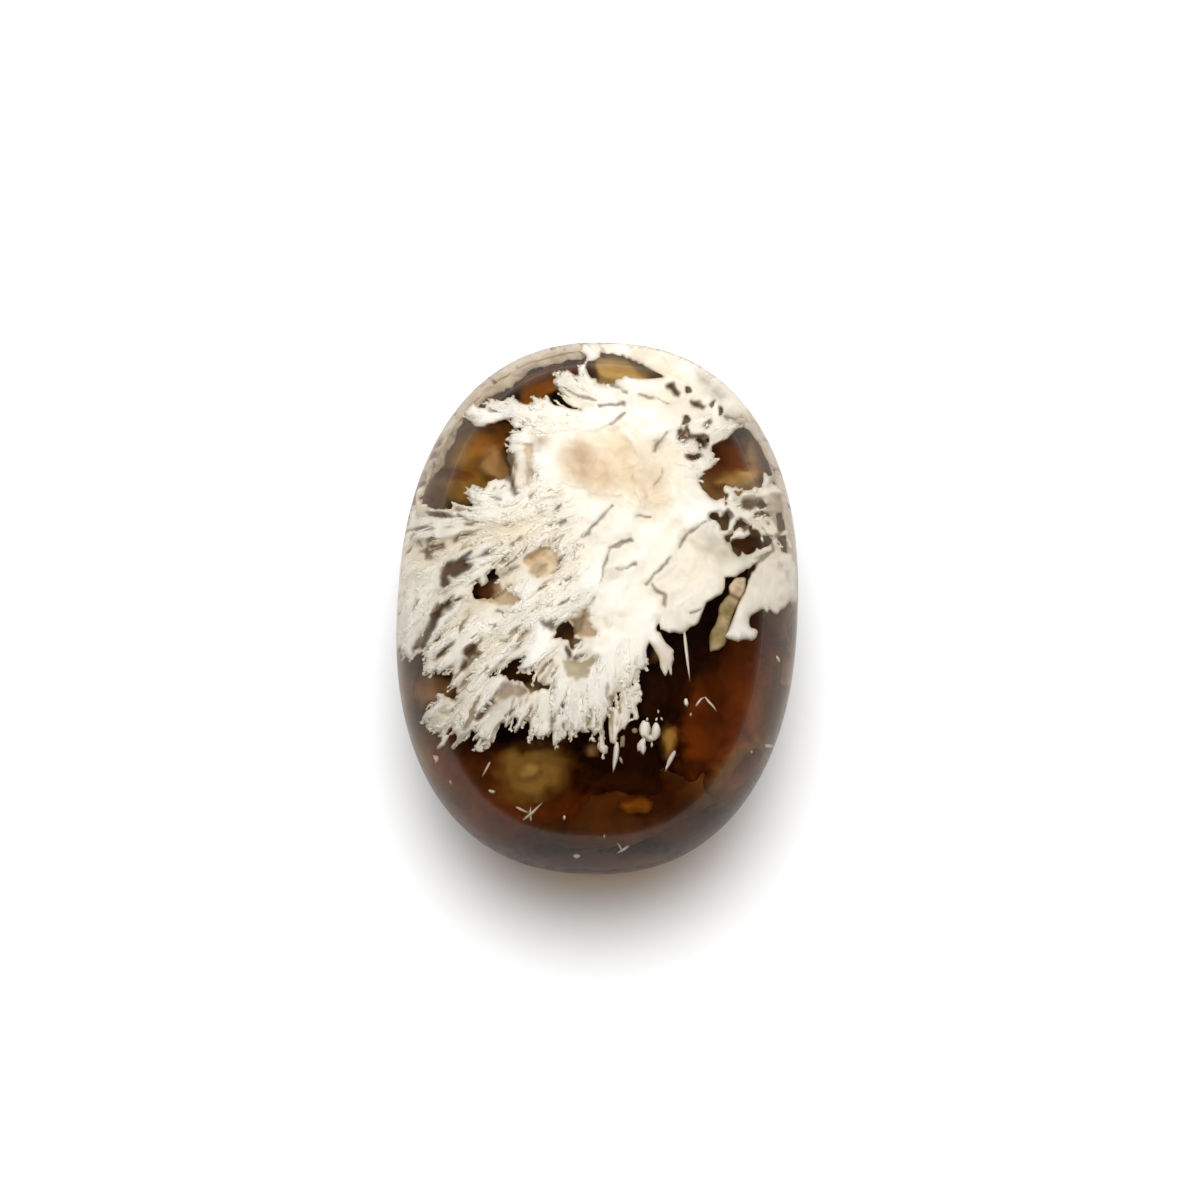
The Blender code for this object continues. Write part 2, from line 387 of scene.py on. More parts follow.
# Clouds below the plumes: centre and half size in the photograph, tilt, how ragged their outline
# is in pixels, their depth in millimetres, their colour and its strength.
CLOUDS = (
    # Broad fields of brown, and the glow along the rim.
    ((462, 466), (64, 74), 0, 12, 3.6, "olive", 0.9),
    ((500, 786), (110, 64), 10, 14, 4.2, "rust", 0.9),
    ((742, 470), (50, 50), 0, 10, 3.4, "rust", 0.9),
    ((722, 712), (80, 44), -65, 10, 5.0, "rust", 0.9),
    ((748, 655), (52, 34), -65, 9, 4.8, "rust", 0.6),
    ((610, 822), (110, 30), 0, 9, 5.4, "rust", 0.5),
    ((440, 700), (40, 60), 0, 9, 4.0, "rust", 0.7),
    ((434, 624), (18, 40), 25, 5, 1.15, "olive", 0.95),
    ((438, 690), (26, 22), 0, 6, 2.1, "pink", 0.55),
    ((430, 790), (26, 70), 35, 8, 2.8, "rust", 0.45),
    ((590, 862), (110, 16), 0, 8, 2.6, "rust", 0.5),
    ((775, 700), (20, 90), 8, 8, 2.6, "olive", 0.3),
    ((470, 590), (60, 70), 0, 10, 5.0, "rust", 0.6),
    # In the clearing at the upper left.
    ((452, 460), (34, 30), -55, 9, 3.0, "olive", 0.9),
    ((460, 492), (30, 13), 10, 6, 3.0, "olive", 0.9),
    ((494, 440), (30, 18), -20, 7, 3.4, "ochre", 0.8),
    ((455, 474), (24, 6), 5, 4, 3.6, "rust", 0.8),
    ((494, 465), (22, 18), 40, 8, 2.2, "pink", 0.7),
    # In the clearings at the top.
    ((546, 382), (46, 22), -25, 6, 4.4, "ochre", 0.9),
    ((500, 392), (26, 14), -40, 5, 2.2, "grey", 0.5),
    ((618, 368), (40, 17), 10, 4, 1.9, "golden", 1.0),
    ((650, 368), (18, 12), 15, 4, 2.2, "olive", 0.7),
    # In the clearings at the right.
    ((735, 455), (40, 26), 0, 6, 4.0, "rust", 0.5),
    ((758, 452), (16, 24), -20, 5, 2.2, "grey", 0.8),
    ((738, 478), (30, 11), -8, 5, 1.9, "golden", 0.8),
    ((755, 515), (46, 40), 0, 7, 2.0, "grey", 0.8),
    ((748, 546), (18, 12), 0, 3, 4.0, "rust", 0.8),
    # In the gaps between the plumes.
    ((547, 562), (34, 24), -20, 6, 1.3, "pink", 1.0),
    ((458, 570), (30, 16), -35, 6, 1.6, "rust", 0.6),
    ((508, 592), (30, 20), 15, 5, 1.3, "pink", 0.95),
    ((481, 592), (13, 12), 0, 4, 2.4, "rust", 0.9),
    ((588, 632), (22, 20), -30, 4, 1.5, "pink", 0.9),
    ((566, 632), (12, 12), 0, 4, 2.8, "rust", 0.9),
    ((516, 672), (32, 16), -25, 6, 3.2, "rust", 1.0),
    ((519, 691), (18, 9), -10, 5, 1.5, "pink", 0.8),
    ((490, 707), (16, 8), -30, 4, 1.6, "pink", 0.7),
    ((478, 664), (44, 22), -35, 8, 2.4, "olive", 0.8),
    ((572, 669), (11, 9), 0, 3, 1.6, "golden", 0.9),
    # In the clear stone below the plumes.
    ((535, 767), (46, 36), -25, 7, 3.0, "olive", 1.0),
    ((529, 773), (14, 9), -40, 3, 2.3, "golden", 0.8),
    ((669, 740), (19, 10), -80, 5, 2.6, "golden", 0.8),
    ((593, 749), (10, 9), 0, 4, 1.9, "pink", 0.8),
    ((738, 774), (46, 24), -45, 9, 2.8, "olive", 0.45),
    ((637, 806), (19, 10), 0, 5, 3.8, "ochre", 0.7),
    ((655, 655), (9, 9), 0, 3, 1.4, "pink", 0.7),
    ((652, 702), (34, 18), -80, 6, 5.0, "dark", 0.9),
    ((632, 780), (50, 16), 5, 8, 5.5, "dark", 0.8),
)
# The darkest and the lightest of each of the clouds' colours.
CLOUD_COLOURS = {
    "dark": ((0.026, 0.010, 0.004), (0.07, 0.026, 0.010)),
    "rust": ((0.10, 0.033, 0.010), (0.27, 0.092, 0.028)),
    "olive": ((0.18, 0.12, 0.040), (0.46, 0.33, 0.14)),
    "ochre": ((0.38, 0.17, 0.03), (0.74, 0.42, 0.14)),
    "golden": ((0.36, 0.24, 0.08), (0.76, 0.60, 0.33)),
    "pink": ((0.34, 0.22, 0.15), (0.72, 0.57, 0.46)),
    "grey": ((0.22, 0.16, 0.11), (0.52, 0.46, 0.39)),
}

# Tints of the white plumes: centre and half size in the photograph, tilt, raggedness, colour and
# its strength.
TINTS = (
    ((636, 470), (60, 50), 20, 10, "cream", 0.7),
    ((652, 362), (26, 10), 12, 4, "peach", 0.7),
    ((600, 690), (60, 60), 0, 14, "pale", 0.45),
    ((700, 600), (50, 50), 0, 14, "pale", 0.35),
    ((690, 410), (50, 36), 40, 9, "cream", 0.5),
    ((612, 574), (13, 9), 0, 4, "tan", 0.35),
    ((608, 620), (6, 9), 0, 3, "pale", 0.8),
    ((518, 470), (14, 30), 0, 5, "pale", 0.8),
    ((412, 590), (26, 64), 10, 8, "pale", 0.9),
    ((464, 560), (70, 46), -30, 12, "pale", 0.7),
    ((480, 650), (70, 46), -30, 12, "pale", 0.6),
    ((470, 716), (60, 28), -5, 10, "pale", 0.9),
    ((663, 655), (12, 16), 0, 4, "peach", 0.4),
    ((765, 580), (36, 50), 0, 8, "pale", 0.5),
    ((716, 548), (34, 22), 30, 8, "pale", 0.6),
)
# The darkest and the lightest of each of the plumes' colours.
PLUME_COLOURS = {
    "white": ((0.83, 0.82, 0.80), (0.915, 0.915, 0.905)),
    "cream": ((0.75, 0.69, 0.58), (0.87, 0.82, 0.73)),
    "peach": ((0.54, 0.43, 0.32), (0.77, 0.66, 0.52)),
    "tan": ((0.34, 0.25, 0.17), (0.60, 0.48, 0.35)),
    "pale": ((0.64, 0.61, 0.55), (0.79, 0.77, 0.72)),
    "olive": ((0.17, 0.13, 0.055), (0.38, 0.30, 0.15)),
    "brown": ((0.032, 0.014, 0.005), (0.105, 0.056, 0.022)),
    # The veil colour is also laid as painted shade along the right rim.
    "veil": ((0.31, 0.27, 0.23), (0.50, 0.46, 0.40)),
}

# Loose needles: width in the photograph, depth in millimetres, and the line.
NEEDLES = (
    (3.4, 0.5, ((684, 630), (688, 665), (690, 682))),
    (3.5, 0.6, ((599, 360), (612, 367), (622, 372), (636, 376))),
    (6, 0.5, ((617, 742), (616, 755), (613, 773))),
    (5, 0.6, ((675, 751), (670, 760), (665, 772))),
    (2.5, 0.7, ((490, 762), (482, 777))),
    (3, 0.7, ((629, 846), (616, 854))),
    (2, 0.7, ((622, 850), (617, 842))),
    (2.2, 0.5, ((696, 706), (701, 699), (705, 697))),
    (2.2, 0.5, ((705, 697), (709, 702), (713, 706), (717, 712))),
    (2.8, 0.7, ((516, 807), (524, 811), (530, 813))),
    (3.2, 0.7, ((523, 820), (531, 814), (543, 802))),
    (2.4, 0.7, ((531, 821), (530, 812), (531, 806))),
)
# Flecks: centre and half size in the photograph, and depth in millimetres.
FLECKS = (
    (644, 732, 6, 9, 0.5), (657, 732, 6, 8, 0.5), (642, 746, 5, 7, 0.5), (650, 738, 6, 5, 0.6),
    (647, 719, 1.5, 2, 0.5), (656, 719, 1.5, 2, 0.5), (662, 719, 1.3, 2, 0.5), (658, 712, 1.3, 2, 0.5),
    (652, 745, 1.5, 3, 0.5), (635, 731, 3, 3, 1.2), (623, 743, 3, 6, 1.2), (621, 760, 2, 4, 0.8),
    (686, 703, 2.3, 3.6, 0.5), (691, 714, 1.5, 2, 0.6), (778, 660, 2, 4, 0.65), (769, 746, 3.4, 2, 0.6),
    (436, 760, 2.4, 4, 0.7), (564, 817, 2, 2.6, 0.7), (577, 856, 3, 2.4, 0.65), (492, 792, 3, 2.2, 0.7),
    (752, 752, 1.5, 2, 0.7), (450, 782, 1.5, 2.5, 0.7), (604, 836, 1.2, 1.8, 0.7),
)

# Beds of iron minerals far down: name, centre and half size in the photograph, tilt, depth and
# thickness in millimetres, how ragged their outline is in pixels, and their mineral.
IRON_BEDS = (
    ("iron_bed_front", (600, 775), (165, 75), 0, 10.5, 2.5, 14, "dark_iron"),
    ("iron_bed_right", (700, 650), (150, 75), -80, 10.5, 2.5, 14, "dark_iron"),
    ("iron_bed_left", (490, 630), (150, 80), -95, 10.5, 2.5, 14, "dark_iron"),
    ("iron_bed_back", (600, 480), (150, 95), 0, 11.0, 2.5, 14, "red_iron"),
)
# Each iron mineral's colours, over its noise.
IRON_MINERALS = {
    "dark_iron": (
        (0.30, (0.015, 0.006, 0.003)),
        (0.52, (0.035, 0.014, 0.006)),
        (0.75, (0.085, 0.032, 0.013)),
    ),
    "red_iron": (
        (0.30, (0.028, 0.010, 0.004)),
        (0.52, (0.065, 0.024, 0.010)),
        (0.75, (0.150, 0.055, 0.020)),
    ),
}

# How wide the patches of lighter and darker colour are, and the grain on all sealed minerals.
PLUME_CELL = 1.4 * MM
CLOUD_CELL = 3.0 * MM
IRON_CELL = 2.0 * MM
GRAIN_CELL = 0.12 * MM
GRAIN_HEIGHT = 0.03 * MM
GRAIN_STRENGTH = 0.3
GRAIN_DETAIL = 3
# How matt the minerals and the floor are, and how much the minerals still shine.
MATT_ROUGHNESS = 0.9
MINERAL_SHINE = 0.1
# The noise at which a colour is darkest and lightest.
DARKEST_AT = 0.30
LIGHTEST_AT = 0.70

# Usual depths under the polish, in millimetres.
LEAST_DEPTH = 0.15
LEAST_NEEDLE_DEPTH = 0.16
PLUME_DEPTH = 0.62
VEIL_DEPTH = 0.95
BACKING_DEPTH = 1.0
TISSUE_DEPTH = 2.1
SIDE_CLOUD_DEPTH = 2.9
BED_DEPTH = 7.0

# Colours of the clouds under the sides, each in patches of noise: kind, strength, width of a
# cell, seed, and the noise at which the colour begins and is full.
SIDE_CLOUD_TINTS = (
    ("olive", 0.8, 90, 324, -0.3, 0.6),
    ("grey", 0.7, 80, 325, -0.2, 0.6),
    ("pink", 0.5, 70, 326, -0.1, 0.7),
    ("dark", 1, 85, 327, -0.2, 0.6),
)

# Noise drawn out along the growth: width of a cell, length of a streak, and seed.
FINE_COMB = (2.6, 12, 11)
BARBS = (5.5, 26, 12)
LOBES = (13, 40, 13)
SLITS = (6, 20, 14)
FINE_SLITS = (3.8, 12, 15)
VEIL_COMB = (4.5, 16, 91)

# How blurred the edge of a stain is where it dips in, and where it is only a colour.
SHALLOW_DIP = 0.1
STAIN_BLUR = 2.4
SHALLOW_STAIN_BLUR = 9.0
# How far the cracks wander off their lines, and how far beside them shade is painted on the plumes.
CRACK_WARP = 3.5
CRACK_SHADE = 2.5
# First seeds of the noise in the cracks, ridges, tints, clouds and iron beds, and of the chance
# in the feathers and flecks.
CRACK_SEED = 500
RIDGE_SEED = 540
TINT_SEED = 400
CLOUD_SEED = 200
IRON_SEED = 100
FROND_SEED = 5
FLECK_SEED = 8

# Feathers: their scale and spacing, barbs on each side, how far inside an edge they start, and
# how far they reach past it.
FROND_SIZES = (
    (1, 13.0, 7, 15, 1.0),
    (0.55, 8.5, 3, 5, 4.0),
)
# Lengths and widths in pixels, angles in radians, and how far barbs may hang over an edge.
STEM_LENGTH = (20, 40)
STEM_WIDTH = (1.2, 2.0)
STEM_SWING = 0.3
SHORTEST_STEM = 9
BARB_LENGTH = (6, 13)
BARB_WIDTH = (1.2, 2.2)
BARB_ANGLE = (0.45, 0.95)
BARB_CURL = 0.45
BARB_OVERHANG = 1.5
WIDE_FLECK = 2.2
# How thick blades are, for each pixel of their width.
FROND_THICKNESS = 0.05
NEEDLE_THICKNESS = 0.10
# Half widths along a blade, from its foot to its pointed tip, as shares of the widest.
STEM_TAPER = (0.8, 1, 1, 0.95, 0.85, 0.6, 0)
BARB_TAPER = (0.7, 1.0, 0.75, 0)
NEEDLE_TAPER = (0.45, 0.9, 1, 0.9, 0.7, 0.4, 0)
FLECK_TAPER = (0.3, 0.8, 1, 0.7, 0)

# Parts of the photograph that the grids of places cover: left, top, right and bottom.
PLUMES_FRAME = (390, 338, 806, 764)
STONE_FRAME = (390, 338, 806, 884)
VEILS_FRAME = (404, 332, 806, 560)
STICK_FRAME = (700, 566, 756, 664)
NEEDLES_FRAME = (390, 560, 806, 880)
FRONDS_FRAME = (400, 345, 800, 760)
# Spacing of the points on each grid, in pixels.
PLUMES_STEP = 1.6
BACKING_STEP = 3.2
VEILS_STEP = 2.0
STICK_STEP = 1.6
NEEDLES_STEP = 4.0
SIDE_PLUMES_STEP = 2.2
BED_STEP = 3.0
SIDE_CLOUDS_STEP = 4.4
IRON_STEP = 4.0
# How far the surface has to face the view for something to be there, how streaky the growth has to
# be for feathers, and the least slant of a ray.
PLUMES_FACING = 0.12
CLOUDS_FACING = 0.1
FRONDS_FACING = 0.3
LIMB_FACING = 0.22
FRONDS_STREAK = 0.42
LEAST_SLANT = 0.3
NOT_FACING = -1
# A sheet's edge field where there is nothing, how near to a grid point an edge may pass, and the
# field at which it would pass through one.
NOTHING = -5
NEAR_A_POINT = 0.08
ON_A_POINT = 1e-6
FAR_AWAY = 1e9
# Added to lengths and steps that could be nothing.
HARDLY_ANY = 1e-9

# The search for the surface on a ray.
DEEPEST_WITHIN = 12 * MM
SURFACE_WITHIN = 30 * MM
SPLITS_BY_THIRDS = 28
SPLITS_BY_HALVES = 26

# The lattice of random values under all noise, and the coarse grid of the growth.
LATTICE = 256
LATTICE_MIDDLE = 1000
LAYERED_SPREAD = 1.4
GROWTH_CORNER = (370, 320)
GROWTH_END = (830, 900)
GROWTH_STEP = 4
# How fast an anchor's hold on the growth falls with distance, and what keeps their sum above zero.
GROWTH_CORE = 80
GROWTH_FALL = 1.5
GROWTH_LEAST = 1e-30

# The floor: its colour as it is seen and as the polish mirrors it, its size, and its place just
# below the stone.
FLOOR_COLOUR = (0.55, 0.55, 0.55)
FLOOR_MIRRORED = (0.35, 0.315, 0.285)
FLOOR_RADIUS = 1.5
FLOOR_GAP = 0.05 * MM
# The light: its way, how narrow and strong it is, and the little that comes from all around.
LIGHT_WAY = (-0.03, 0.41, 0.91)
LIGHT_FOCUS = 4.8
LIGHT_STRENGTH = 8.7
LIGHT_ALL_ROUND = 0.10
# What the polish mirrors above the floor, from the horizon to straight up.
MIRRORED = ((0.0, 1.0), (0.04, 0.5), (0.11, 0.16), (0.25, 0.05), (0.6, 0.02))
MIRRORED_IN_FRONT = (0.55, 0.44, 0.34)
MIRRORED_BEHIND = (1.3, 1.25, 1.15)
MIRRORED_AT_SIDE = 0.42
MIRRORED_TURN = 0.6


def unit(vectors):
    return vectors / np.linalg.norm(vectors, axis=-1, keepdims=True)


# The stone's surface

def reach(ways):
    """How far the surface lies from the middle of the girdle, in each unit direction."""
    x, y, z = ways[..., 0], ways[..., 1], ways[..., 2]
    across = np.abs(x / (WIDTH / 2)) ** OUTLINE_SQUARENESS
    along = np.abs(y / (LENGTH / 2)) ** OUTLINE_SQUARENESS
    level = (across + along) ** (SECTION_SQUARENESS / OUTLINE_SQUARENESS)
    half_height = np.where(z > 0, HEIGHT - GIRDLE_HEIGHT, BELLY_DEPTH)
    upright = np.abs(z / half_height) ** SECTION_SQUARENESS
    swelling = 0.8 * x * y + 0.7 * y * (y * y - 0.6) + 0.6 * x * z
    return (level + upright) ** (-1 / SECTION_SQUARENESS) * (1 + UNEVENNESS * swelling)


def sphere_ways(subdivisions):
    """Even directions around the stone, and the triangles between them."""
    bm = bmesh.new()
    bmesh.ops.create_icosphere(bm, subdivisions=subdivisions, radius=1)
    ways = np.array([vert.co for vert in bm.verts])
    faces = np.array([[vert.index for vert in face.verts] for face in bm.faces])
    bm.free()
    return unit(ways * (WIDTH, LENGTH, HEIGHT)), faces


def surface_shift():
    """How far the shape must move sideways, so that its box is centred on the origin."""
    ways, _ = sphere_ways(subdivisions=6)
    points = ways * reach(ways)[:, None]
    middle = (points.min(0) + points.max(0)) / 2
    return np.array([middle[0], middle[1], 0])


CORE = GIRDLE_CENTRE - surface_shift()


def outside(points):
    """Below zero inside the stone, and above it outside."""
    offsets = points - CORE
    length = np.linalg.norm(offsets, axis=-1)
    return length / reach(offsets / length[..., None]) - 1


def surface_normal(points):
    step = 0.01 * MM
    slopes = [outside(points + step * axis) - outside(points - step * axis) for axis in np.eye(3)]
    return unit(np.stack(slopes, -1))


def keep_inside(points):
    """Points moved just under the skin of the stone, where they lie outside it."""
    offsets = points - CORE
    room = 1 - SKIN / np.linalg.norm(offsets, axis=-1)
    share = (1 + outside(points)) / room
    points = CORE + offsets / np.maximum(share, 1)[:, None]
    points[:, 2] = np.maximum(points[:, 2], LOWEST)
    return points


# The photograph's view, and places inside the stone that show at a given pixel of it

def camera_axes(azimuth, elevation):
    back = np.array([
        math.sin(azimuth) * math.cos(elevation),
        -math.cos(azimuth) * math.cos(elevation),
        math.sin(elevation),
    ])
    right = np.array([math.cos(azimuth), math.sin(azimuth), 0])
    return right, np.cross(back, right), back


RIGHT, UP, BACK = camera_axes(CAMERA_AZIMUTH, CAMERA_ELEVATION)
EYE = (
    GIRDLE_CENTRE
    + RIGHT * (PHOTO_SIZE / 2 - GIRDLE_IN_PHOTO[0]) / PIXELS_PER_METRE
    + UP * (GIRDLE_IN_PHOTO[1] - PHOTO_SIZE / 2) / PIXELS_PER_METRE
    + BACK * CAMERA_DISTANCE
)


def to_photo(points):
    """The photograph's pixel of each point, in plain air."""
    offsets = points - EYE
    far = -(offsets @ BACK)
    x = PHOTO_SIZE / 2 + FOCAL_PIXELS * (offsets @ RIGHT) / far
    y = PHOTO_SIZE / 2 - FOCAL_PIXELS * (offsets @ UP) / far
    return x, y


def bend(ways, normals):
    """Directions inside the stone of rays that meet its surface."""
    ratio = 1 / REFRACTIVE_INDEX
    facing = -(ways * normals).sum(-1, keepdims=True)
    inside = np.sqrt(1 - ratio * ratio * (1 - facing * facing))
    return unit(ratio * ways + (ratio * facing - inside) * normals)


def seen_surface(x, y):
    """Surface points at pixels of the photograph, the refracted rays there, and how they face.

    The deepest place on each ray is found by thirds, and then the surface before it by halves.
    """
    rays = unit(
        RIGHT * ((x - PHOTO_SIZE / 2) / FOCAL_PIXELS)[:, None]
        + UP * ((PHOTO_SIZE / 2 - y) / FOCAL_PIXELS)[:, None]
        - BACK
    )
    nearest = ((CORE - EYE) * rays).sum(-1)
    low, high = nearest - DEEPEST_WITHIN, nearest + DEEPEST_WITHIN
    for _ in range(SPLITS_BY_THIRDS):
        third = (high - low) / 3
        left = outside(EYE + rays * (low + third)[:, None])
        right = outside(EYE + rays * (high - third)[:, None])
        low = np.where(left > right, low + third, low)
        high = np.where(left > right, high, high - third)
    inner = (low + high) / 2
    hit = outside(EYE + rays * inner[:, None]) < 0
    low, high = inner - SURFACE_WITHIN, inner
    for _ in range(SPLITS_BY_HALVES):
        middle = (low + high) / 2
        beyond = outside(EYE + rays * middle[:, None]) > 0
        low = np.where(beyond, middle, low)
        high = np.where(beyond, high, middle)
    points = EYE + rays * high[:, None]
    normals = surface_normal(points)
    facing = np.where(hit, -(rays * normals).sum(-1), NOT_FACING)
    return points, bend(rays, normals), normals, facing


# Steps, distances and noise

def smooth_step(value, low, high):
    """Rise from nothing at the low value to one at the high one, which may also be the lesser."""
    share = np.clip((value - low) / (high - low), 0, 1)
    return share * share * (3 - 2 * share)


def cushion(field, width):
    """Rounded rise from nothing at a field's edge to one, this far inside."""
    share = np.clip(field / width, 0, 1)
    return np.sqrt(1 - (1 - share) ** 2)


def turned(x, y, tilt):
    """Distances along and across an axis with a tilt in degrees."""
    turn = math.radians(tilt)
    return x * math.cos(turn) + y * math.sin(turn), y * math.cos(turn) - x * math.sin(turn)


def line_distance(x, y, line, closed=False):
    line = np.array(line, float)
    ends = np.roll(line, -1, 0) if closed else line[1:]
    starts = line if closed else line[:-1]
    best = np.full(x.shape, FAR_AWAY)
    for (ax, ay), (bx, by) in zip(starts, ends):
        length = (bx - ax) ** 2 + (by - ay) ** 2 + HARDLY_ANY
        t = np.clip(((x - ax) * (bx - ax) + (y - ay) * (by - ay)) / length, 0, 1)
        best = np.minimum(best, np.hypot(x - ax - t * (bx - ax), y - ay - t * (by - ay)))
    return best


def inside_distance(x, y, *outlines):
    """Distance in from the edge of outlines: above zero inside one, and below zero outside all."""
    best = np.full(x.shape, -FAR_AWAY)
    for outline in outlines:
        outline = np.array(outline, float)
        crossings = np.zeros(x.shape, bool)
        for (ax, ay), (bx, by) in zip(outline, np.roll(outline, -1, 0)):
            if ay == by:
                continue
            spans = (ay > y) != (by > y)
            crossings ^= spans & (x < ax + (y - ay) / (by - ay) * (bx - ax))
        distance = line_distance(x, y, outline, closed=True)
        best = np.maximum(best, np.where(crossings, distance, -distance))
    return best


def smooth_noise(x, y, cell, seed):
    """Smooth random values of about -1 to 1, over places in the same unit as the cell."""
    lattice = np.random.default_rng(seed).uniform(-1, 1, (LATTICE, LATTICE))
    u, v = x / cell + LATTICE_MIDDLE, y / cell + LATTICE_MIDDLE
    i, j = np.floor(u).astype(int), np.floor(v).astype(int)
    s, t = u - i, v - j
    s, t = s * s * (3 - 2 * s), t * t * (3 - 2 * t)

    def corner(right, down):
        return lattice[(i + right) % LATTICE, (j + down) % LATTICE]

    low = corner(0, 0) * (1 - s) + corner(1, 0) * s
    high = corner(0, 1) * (1 - s) + corner(1, 1) * s
    return low * (1 - t) + high * t


def layered_noise(x, y, cell, seed, layers=3):
    total = sum(smooth_noise(x, y, cell / 2 ** k, seed + k) / 2 ** k for k in range(layers))
    return total / LAYERED_SPREAD


def look_up(grid, corner, step, x, y):
    """Values at any places, blended from the four points of a grid around each."""
    rows, columns = grid.shape[:2]
    u = np.clip((x - corner[0]) / step, 0, columns - 1.001)
    v = np.clip((y - corner[1]) / step, 0, rows - 1.001)
    i, j = u.astype(int), v.astype(int)
    s, t = u - i, v - j
    if grid.ndim > 2:
        s, t = s[:, None], t[:, None]
    low = grid[j, i] * (1 - s) + grid[j, i + 1] * s
    high = grid[j + 1, i] * (1 - s) + grid[j + 1, i + 1] * s
    return low * (1 - t) + high * t


def growth_field(x, y):
    """The direction of growth and the streakiness at each place, from the nearest anchors."""
    along, across, streak, weight = 0, 0, 0, 0
    for anchor_x, anchor_y, angle, strength in GROWTH:
        near = 1 / (GROWTH_CORE + (x - anchor_x) ** 2 + (y - anchor_y) ** 2) ** GROWTH_FALL
        along = along + near * math.cos(math.radians(angle))
        across = across + near * math.sin(math.radians(angle))
        streak = streak + near * strength
        weight = weight + near
    length = np.hypot(along, across) + GROWTH_LEAST
    return np.stack([along / length, across / length, streak / weight], -1)


GROWTH_GRID = growth_field(*np.meshgrid(
    np.arange(GROWTH_CORNER[0], GROWTH_END[0], GROWTH_STEP, float),
    np.arange(GROWTH_CORNER[1], GROWTH_END[1], GROWTH_STEP, float),
))


def growth_at(x, y):
    """The growth field, looked up on its coarse grid."""
    return look_up(GROWTH_GRID, GROWTH_CORNER, GROWTH_STEP, x, y).T


def streak_noise(x, y, cell, length, seed):
    """Noise drawn out along the growth, with a spread of one."""
    total = smooth_noise(x, y, cell, seed)
    steps = int(length / cell * 1.5)
    stride = length / steps
    for turn in (1, -1):
        at_x, at_y = x.copy(), y.copy()
        for step in range(steps):
            along, across, _ = growth_at(at_x, at_y)
            at_x = at_x + turn * stride * along
            at_y = at_y + turn * stride * across
            total = total + smooth_noise(at_x, at_y, cell, seed) * (1 - (step + 1) / (steps + 1))
    total = total - total.mean()
    return total / total.std()


# Grids of places, on which the sealed things are shaped

def grid_triangles(columns, rows):
    """Triangles over a grid of points, with the diagonals turned by turns."""
    index = np.arange(columns * rows).reshape(rows, columns)
    a, b = index[:-1, :-1].ravel(), index[:-1, 1:].ravel()
    c, d = index[1:, 1:].ravel(), index[1:, :-1].ravel()
    even = ((a // columns + a % columns) % 2 == 0)[:, None]
    first = np.where(even, np.stack([a, b, c], -1), np.stack([a, b, d], -1))
    second = np.where(even, np.stack([a, c, d], -1), np.stack([b, c, d], -1))
    return np.concatenate([first, second])


class Patch:
    """Grid of places in the photograph, with the stone's surface and the rays under each."""

    def __init__(self, left, top, right, bottom, step):
        columns, rows = np.arange(left, right, step), np.arange(top, bottom, step)
        self.corner, self.step, self.shape = (left, top), step, (len(rows), len(columns))
        self.x, self.y = (axis.ravel() for axis in np.meshgrid(columns, rows))
        self.surface, self.rays, normals, self.facing = seen_surface(self.x, self.y)
        self.slant = np.maximum(-(self.rays * normals).sum(-1), LEAST_SLANT)
        self.triangles = grid_triangles(len(columns), len(rows))

    def look_up(self, values, x, y):
        """Values of the grid at any places of the photograph."""
        grid = values.reshape(*self.shape, *values.shape[1:])
        return look_up(grid, self.corner, self.step, x, y)

    def sink(self, depth):
        """Points this many millimetres below the surface, kept inside the stone."""
        return keep_inside(self.surface + self.rays * (depth * MM / self.slant)[:, None])

    def place(self, x, y, depth):
        """Points under any places of the photograph, this many millimetres deep."""
        surface, rays, slant = (self.look_up(v, x, y) for v in (self.surface, self.rays, self.slant))
        return keep_inside(surface + rays * (depth * MM / slant)[:, None])

    def noise(self, cell, seed):
        return layered_noise(self.x, self.y, cell, seed)

    def inside(self, *outlines):
        return inside_distance(self.x, self.y, *outlines)

    def end_at_limb(self, edge, facing):
        """A sheet's edge field, with nothing where the surface turns away from the view."""
        return np.where(self.facing > facing, edge, NOTHING)


